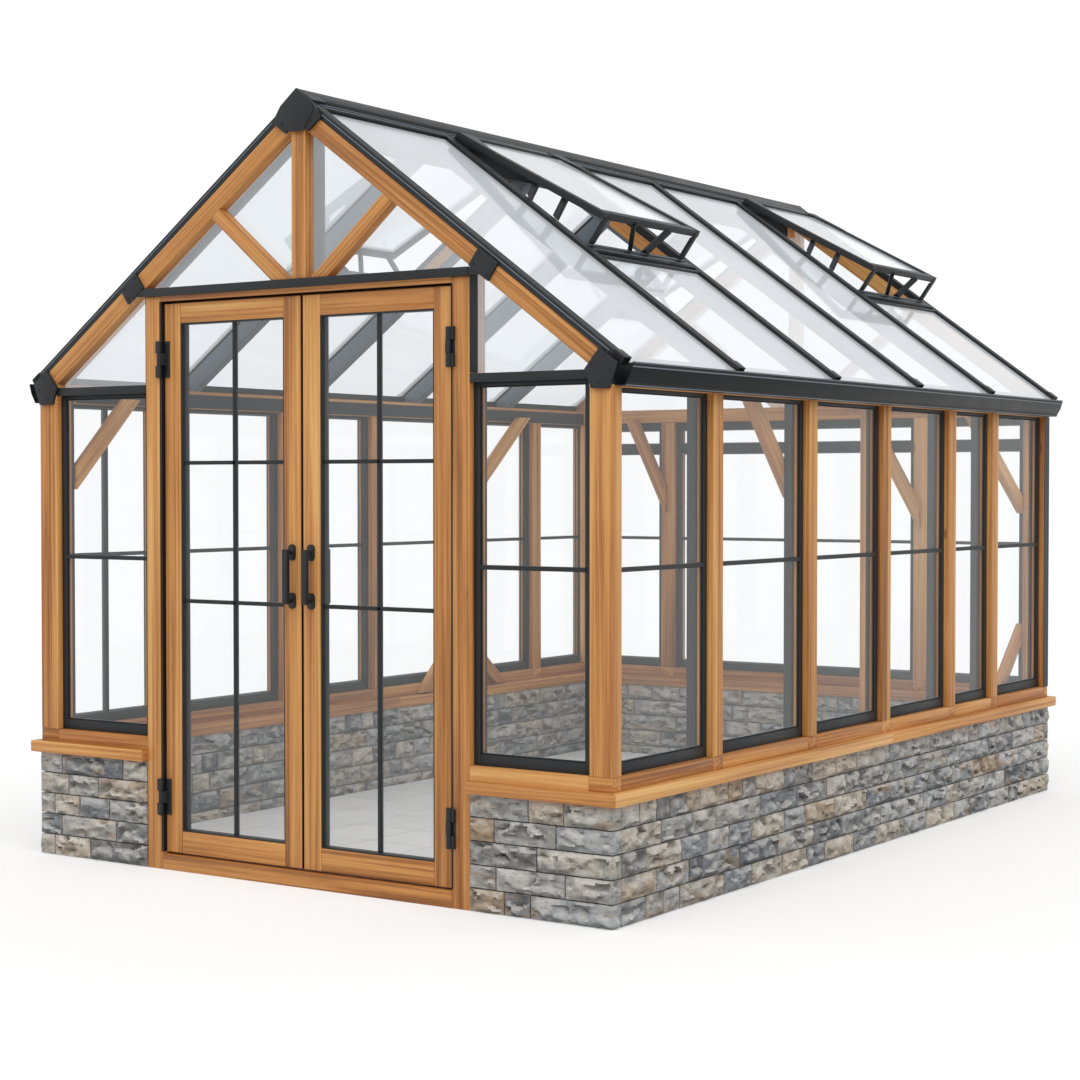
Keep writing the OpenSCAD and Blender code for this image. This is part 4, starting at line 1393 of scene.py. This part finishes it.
# %% Trim the roof
def trim_roof():
    seals, ribs, drips = Bars("roof_seals"), Bars("roof_ribs_highlight"), Bars("vent_drips")
    glass_h = -12 * MM
    tops = {}
    for solid in solids_of("roof_glass"):
        low, high = solid_box(solid)
        side = 1 if low.x > 0 else -1
        reach = [down_roof(v.co) for v in solid.verts]
        tops[(side, round((low.y + high.y) / 2, 2))] = (min(reach), max(reach))
    for side, y0, y1 in roof_bays():
        top, bottom = tops[(side, round((y0 + y1) / 2, 2))]
        out, a, b = facing_out(side), y0 + MM, y1 - MM
        for y in (y0 + 3 * MM, y1 - 3 * MM):
            ends = [on_roof(s, y, glass_h + 2 * MM, side) for s in (top, bottom)]
            seals.line(*ends, out)
        # The ribs are pale grey as painted highlight: the lines of light along the rails and the tops of the
        # glass.
        rib_places = [0.080, 0.098] + ([top - 0.045, top - 0.015] if top > 0.3 else [])
        for s in rib_places:
            ribs.line(on_roof(s, a, MM, side), on_roof(s, b, MM, side), out)
        if top > 0.3:
            s, h = top + 24 * MM, -6 * MM
            drips.line(on_roof(s, a, h, side), on_roof(s, b, h, side), out)
    for side in (-1, 1):
        for end in (-1, 1):
            y, out = end * (FRAME_Y + 0.5 * MM), Vector((0, end, 0))
            ribs.line(on_roof(0.14, y, -11 * MM, side), on_roof(1.58, y, -11 * MM, side), out)
    seals.made(6 * MM, 4 * MM, 1 * MM, SEAL_AND_SHADE, "metal")
    ribs.made(3.5 * MM, 3 * MM, 0.8 * MM, GREY, "metal")
    drips.made(14 * MM, 10 * MM, 1.5 * MM, BLACK, "metal")


trim_roof()


# %% Trim the eaves
def trim_gutters():
    """A lip under each gutter and on its rim, pale grey as painted highlight, with dark strips between them
    as painted shade in the grooves.
    """
    lips, grooves = Bars("gutter_lips_highlight"), Bars("gutter_groove_shade")
    low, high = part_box("gutters")
    # The grey lips are painted highlight, and the dark strips are painted shade in the grooves.
    lines = [(lips, 39, 2.4), (lips, 68, 71.4), (grooves, 43, 8.5), (grooves, 66.8, 64), (lips, 65.6, 59)]
    for side in (-1, 1):
        for bars, x, z in lines:
            x, z = side * (FRAME_X + x * MM), low.z + z * MM
            bars.line((x, low.y + MM, z), (x, high.y - MM, z), Vector((side, 0, 0)))
    lips.made(4.5 * MM, 3.6 * MM, 1.5 * MM, GREY, "metal")
    grooves.made(4.5 * MM, 2.4 * MM, 0.5 * MM, SEAL_AND_SHADE, "metal")


def cover_corners():
    """Black sheets round the two back corner posts."""
    covers, sheet = Gathered("corner_covers"), 2 * MM
    for side in (-1, 1):
        x0, x1 = span(side, FRAME_X, FRAME_X + sheet)
        covers.box((x0, FRAME_Y - CORNER_W, BASE_Z), (x1, FRAME_Y + sheet, EAVE_Z), 0.5 * MM, 1)
        x0, x1 = span(side, FRAME_X - CORNER_W, FRAME_X)
        covers.box((x0, FRAME_Y, BASE_Z), (x1, FRAME_Y + sheet, EAVE_Z), 0.5 * MM, 1)
    covers.made(BLACK, "metal")


def strip_plates():
    """Strips inside the wall plates, and caps on the ends of the ridge."""
    strips = Gathered("plate_strips")
    bottom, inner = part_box("wall_plates")[0].z, FRAME_X - POST
    first, last, proud = 1 * MM, 69 * MM, 8.8 * MM
    for side in (-1, 1):
        x0, x1 = span(side, inner - 3 * MM, inner)
        strips.box((x0, -FRAME_Y + 0.1, bottom + 2 * MM), (x1, FRAME_Y - 0.1, bottom + 58 * MM), 0.8 * MM)
        for end in (-1, 1):
            y0, y1 = span(end, FRAME_Y - 80 * MM, FRAME_Y)
            corners = on_slope(y0, side, (first, 0), (last, 0), (last, proud), (first, proud))
            strips.pushed(corners, (0, y1 - y0, 0), 0.6 * MM, 1)
    strips.made(BLACK, "metal")


trim_gutters()
cover_corners()
strip_plates()

# %% [markdown]
# ## Trim of the gables and the vents
# Behind the glass of the door gable runs a slim metal frame, along the king post and under the
# rafters. The ridge board has black linings, and each vent opening has a curb on its far side and
# struts that hold the sash up.

# %% Frame the door gable
def frame_gable(frame_bars):
    deep, wide = 56 * MM, 14 * MM
    front = min(solids_of("king_posts"), key=lambda s: min(v.co.y for v in s.verts))
    king_low, king_high = solid_box(front)
    back_y, side_x = king_high.y + 5.4 * MM, king_high.x
    top = king_high.z - 30 * MM
    bar_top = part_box("cross_bars")[1].z
    for side in (-1, 1):
        x0, x1 = span(side, side_x - wide, side_x)
        frame_bars.box((x0, back_y, king_low.z), (x1, back_y + deep, top), 1 * MM)
        fall = Vector((side * DOWN.x, 0, DOWN.z)) * ((DOOR_SIDE - 0.06) / DOWN.x)
        inner, back = -facing_out(side), Vector((0, 36 * MM, 0))
        start = Vector((side * 0.045, back_y, under_roof(0.045)))
        near, far = start - inner * 8 * MM, start + inner * 14 * MM
        frame_bars.pushed([near, far, far + back, near + back], fall, 1 * MM)
        x0, x1 = span(side, DOOR_SIDE, DOOR_SIDE + 46 * MM)
        frame_bars.box((x0, -FRAME_Y - 9 * MM, bar_top - 28 * MM),
                       (x1, -FRAME_Y - 1 * MM, bar_top - 2 * MM), 1 * MM)
        x0, x1 = span(side, DOOR_SIDE, DOOR_SIDE + 3 * MM)
        frame_bars.box((x0, -FRAME_Y + 1 * MM, EAVE_Z + 60 * MM),
                       (x1, -FRAME_Y + 44 * MM, HEAD_TOP), 0.4 * MM, 1)


def plate_ridge(frame_bars):
    """A shaped plate on each end of the ridge, and linings on the ridge board."""
    plate = [(0, 9), (70, -46), (78, -74), (34, -138), (-34, -138), (-78, -74), (-70, -46)]
    for end in (-1, 1):
        face = end * (FRAME_Y + 11 * MM)
        corners = [(x * MM, face, RIDGE_Z + z * MM) for x, z in plate[::-end]]
        frame_bars.pushed(corners, (0, end * 3 * MM, 0), 0.8 * MM)
    low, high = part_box("ridge_board")
    y0, y1, sheet = low.y + 0.08, high.y - 0.08, 2 * MM
    for side in (-1, 1):
        x0, x1 = span(side, high.x, high.x + sheet)
        frame_bars.box((x0, y0, low.z), (x1, y1, high.z - 8 * MM), 0.4 * MM, 1)
    frame_bars.box((low.x - sheet, y0, low.z - sheet), (high.x + sheet, y1, low.z), 0.4 * MM, 1)


HEAD_TOP = 2.122
gable_bars = Gathered("gable_frame")
frame_gable(gable_bars)
plate_ridge(gable_bars)
gable_bars.made(BLACK, "metal")


# %% Line the vents and hold them open
def line_vents():
    """A curb on the far side of each opening: metal under the sash, and timber further down."""
    boards, linings = Gathered("vent_curbs"), Gathered("vent_linings")
    top, bottom = -29 * MM, -74 * MM
    for side, y0, y1 in vent_bays():
        near, far = y1 - 11 * MM, y1 + 0.5 * MM
        for curb, s0, s1 in ((linings, 0.125, 0.47), (boards, 0.47, 0.83)):
            corners = on_slope(near, side, (s0, bottom), (s1, bottom), (s1, top), (s0, top))
            curb.pushed(corners, (0, far - near, 0), 1.5 * MM)
    boards.made(CEDAR, "timber")
    linings.made(GREY, "metal")


def strut_vents():
    """The stays as stout struts, and two short ones beside each opening."""
    struts = Bars("vent_struts")
    for solid in solids_of("vent_stays"):
        ends = sorted((v.co for v in solid.verts), key=lambda c: c.z)
        foot, head = sum(ends[:4], Vector()) / 4, sum(ends[-4:], Vector()) / 4
        struts.line(foot, head, (1 if foot.x > 0 else -1, 0, 0.3))
    opened = math.tan(math.radians(8.0))
    for side, y0, y1 in vent_bays():
        for s in (0.5, 0.64):
            foot = on_roof(s + 0.03, y0 + 6 * MM, 1 * MM, side)
            head = on_roof(s, y0 + 44 * MM, (s - 0.11) * opened + 8 * MM, side)
            struts.line(foot, head, (side * DOWN.x, 0, DOWN.z))
    struts.made(24 * MM, 22 * MM, 1.5 * MM, BLACK, "metal", nodes=["vent_stays"])


line_vents()
strut_vents()

# %% [markdown]
# ## Screws and brackets
# Small round-headed screws hold the gusset plates and the hinges. A tree puts one small head on
# each point and turns it to the way its face looks. Dark triangular brackets carry each sash.

# %% Drive the screws
def screw_tree():
    tree = Grower("screws", {"Radius": 0.005, "Height": 0.003, "Sides": 10, "Finish": None})
    sides, radius, height = [tree.given(title) for title in ("Sides", "Radius", "Height")]
    washer = tree.node("GeometryNodeMeshCylinder", {}, {
        "Vertices": sides, "Radius": radius, "Depth": height * 0.7})
    head = tree.node("GeometryNodeMeshCylinder", {}, {
        "Vertices": sides, "Radius": radius * 0.62, "Depth": height * 1.9})
    both = tree.node("GeometryNodeJoinGeometry", {}, {0: [washer, head]})
    turn = tree.node("FunctionNodeAlignRotationToVector", {"axis": "Z"}, {
        "Vector": tree.stored("facing", "FLOAT_VECTOR")})
    heads = tree.node("GeometryNodeInstanceOnPoints", {}, {
        "Points": tree.given("Geometry"), "Instance": both, "Rotation": turn})
    return tree.grown(heads)


SCREWS = screw_tree()


def drive(name, points, facing, radius, body="greenhouse"):
    heads = grow(SCREWS, name, points, (), (), {"facing": [tuple(facing)] * len(points)},
                 Radius=radius, Height=2.2 * MM, Sides=10, Finish=BLACK)
    return placed(heads, (), body)


def gusset_places(middle):
    """Where the screws of a gusset plate sit, from its middle: at the ridge, an eave or a knee."""
    side = 1 if middle.x > 0 else -1
    if abs(middle.x) < 0.01:
        return [(-0.066, -0.042), (0.066, -0.042), (0.0, -0.018), (0.0, 0.036)]
    if abs(middle.x) > 1.1:
        places = [(-0.036, 0.016), (-0.012, -0.044), (0.012, 0.04), (0.034, -0.008)]
        return [(side * x, z) for x, z in places]
    along, off = Vector((side * DOWN.x, 0, DOWN.z)), facing_out(side)
    spots = [along * a + off * b for a in (-0.034, 0.034) for b in (-0.022, 0.022)]
    return [(spot.x, spot.z) for spot in spots]


def drive_screws():
    low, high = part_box("gusset_plates")
    for end, name, y in ((-1, "front", low.y), (1, "back", high.y)):
        points = []
        for solid in solids_of("gusset_plates"):
            plate_low, plate_high = solid_box(solid)
            middle = (plate_low + plate_high) / 2
            if middle.y * end > 0:
                points += [(middle.x + dx, y, middle.z + dz) for dx, dz in gusset_places(middle)]
        drive(name + "_gusset_screws", points, (0, end, 0), 4.5 * MM)
    for side, name in ((-1, "left"), (1, "right")):
        x = side * (JAMB_IN - 19 * MM)
        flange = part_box(name + "_door_frame")[0].y - 4 * MM
        points = []
        for solid in solids_of(name + "_door_hinges"):
            z0, z1 = (corner.z for corner in solid_box(solid))
            points += [(x, flange, z) for z in (z0 + 0.016, (z0 + z1) / 2, z1 - 0.016)]
        drive(name + "_hinge_screws", points, (0, -1, 0), 3.2 * MM, name + "_door")


def sash_brackets():
    """Triangular plates at the top corners of each sash, which carry its hinges."""
    plates = Gathered("sash_brackets")
    for side, y0, y1 in vent_bays():
        for y, turn in ((y0 + 5 * MM, 1), (y1 - 5 * MM, -1)):
            corners = [on_roof(0.113, y, 27 * MM, side), on_roof(0.113, y + turn * 0.1, 27 * MM, side),
                       on_roof(0.3, y, 51 * MM, side)]
            plates.pushed(corners, facing_out(side) * 3 * MM, 0.6 * MM, 1)
    plates.made(BLACK, "metal")


drive_screws()
sash_brackets()

# %% [markdown]
# ## Glass
# The panes keep the shapes of the packed model and only take a finish.

# %% Finish the glass
SHEETS = {node: WALL_GLASS for node in (*WALLS, "left_door_glass", "right_door_glass")}
SHEETS.update({"gable_glass": GABLE_GLASS, "roof_glass": ROOF_GLASS, "vent_glass": ROOF_GLASS})
for node, material in SHEETS.items():
    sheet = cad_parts[node].data
    sheet.materials.clear()
    sheet.materials.append(material)
print("glass finished:", len(SHEETS), "nodes")

# %% [markdown]
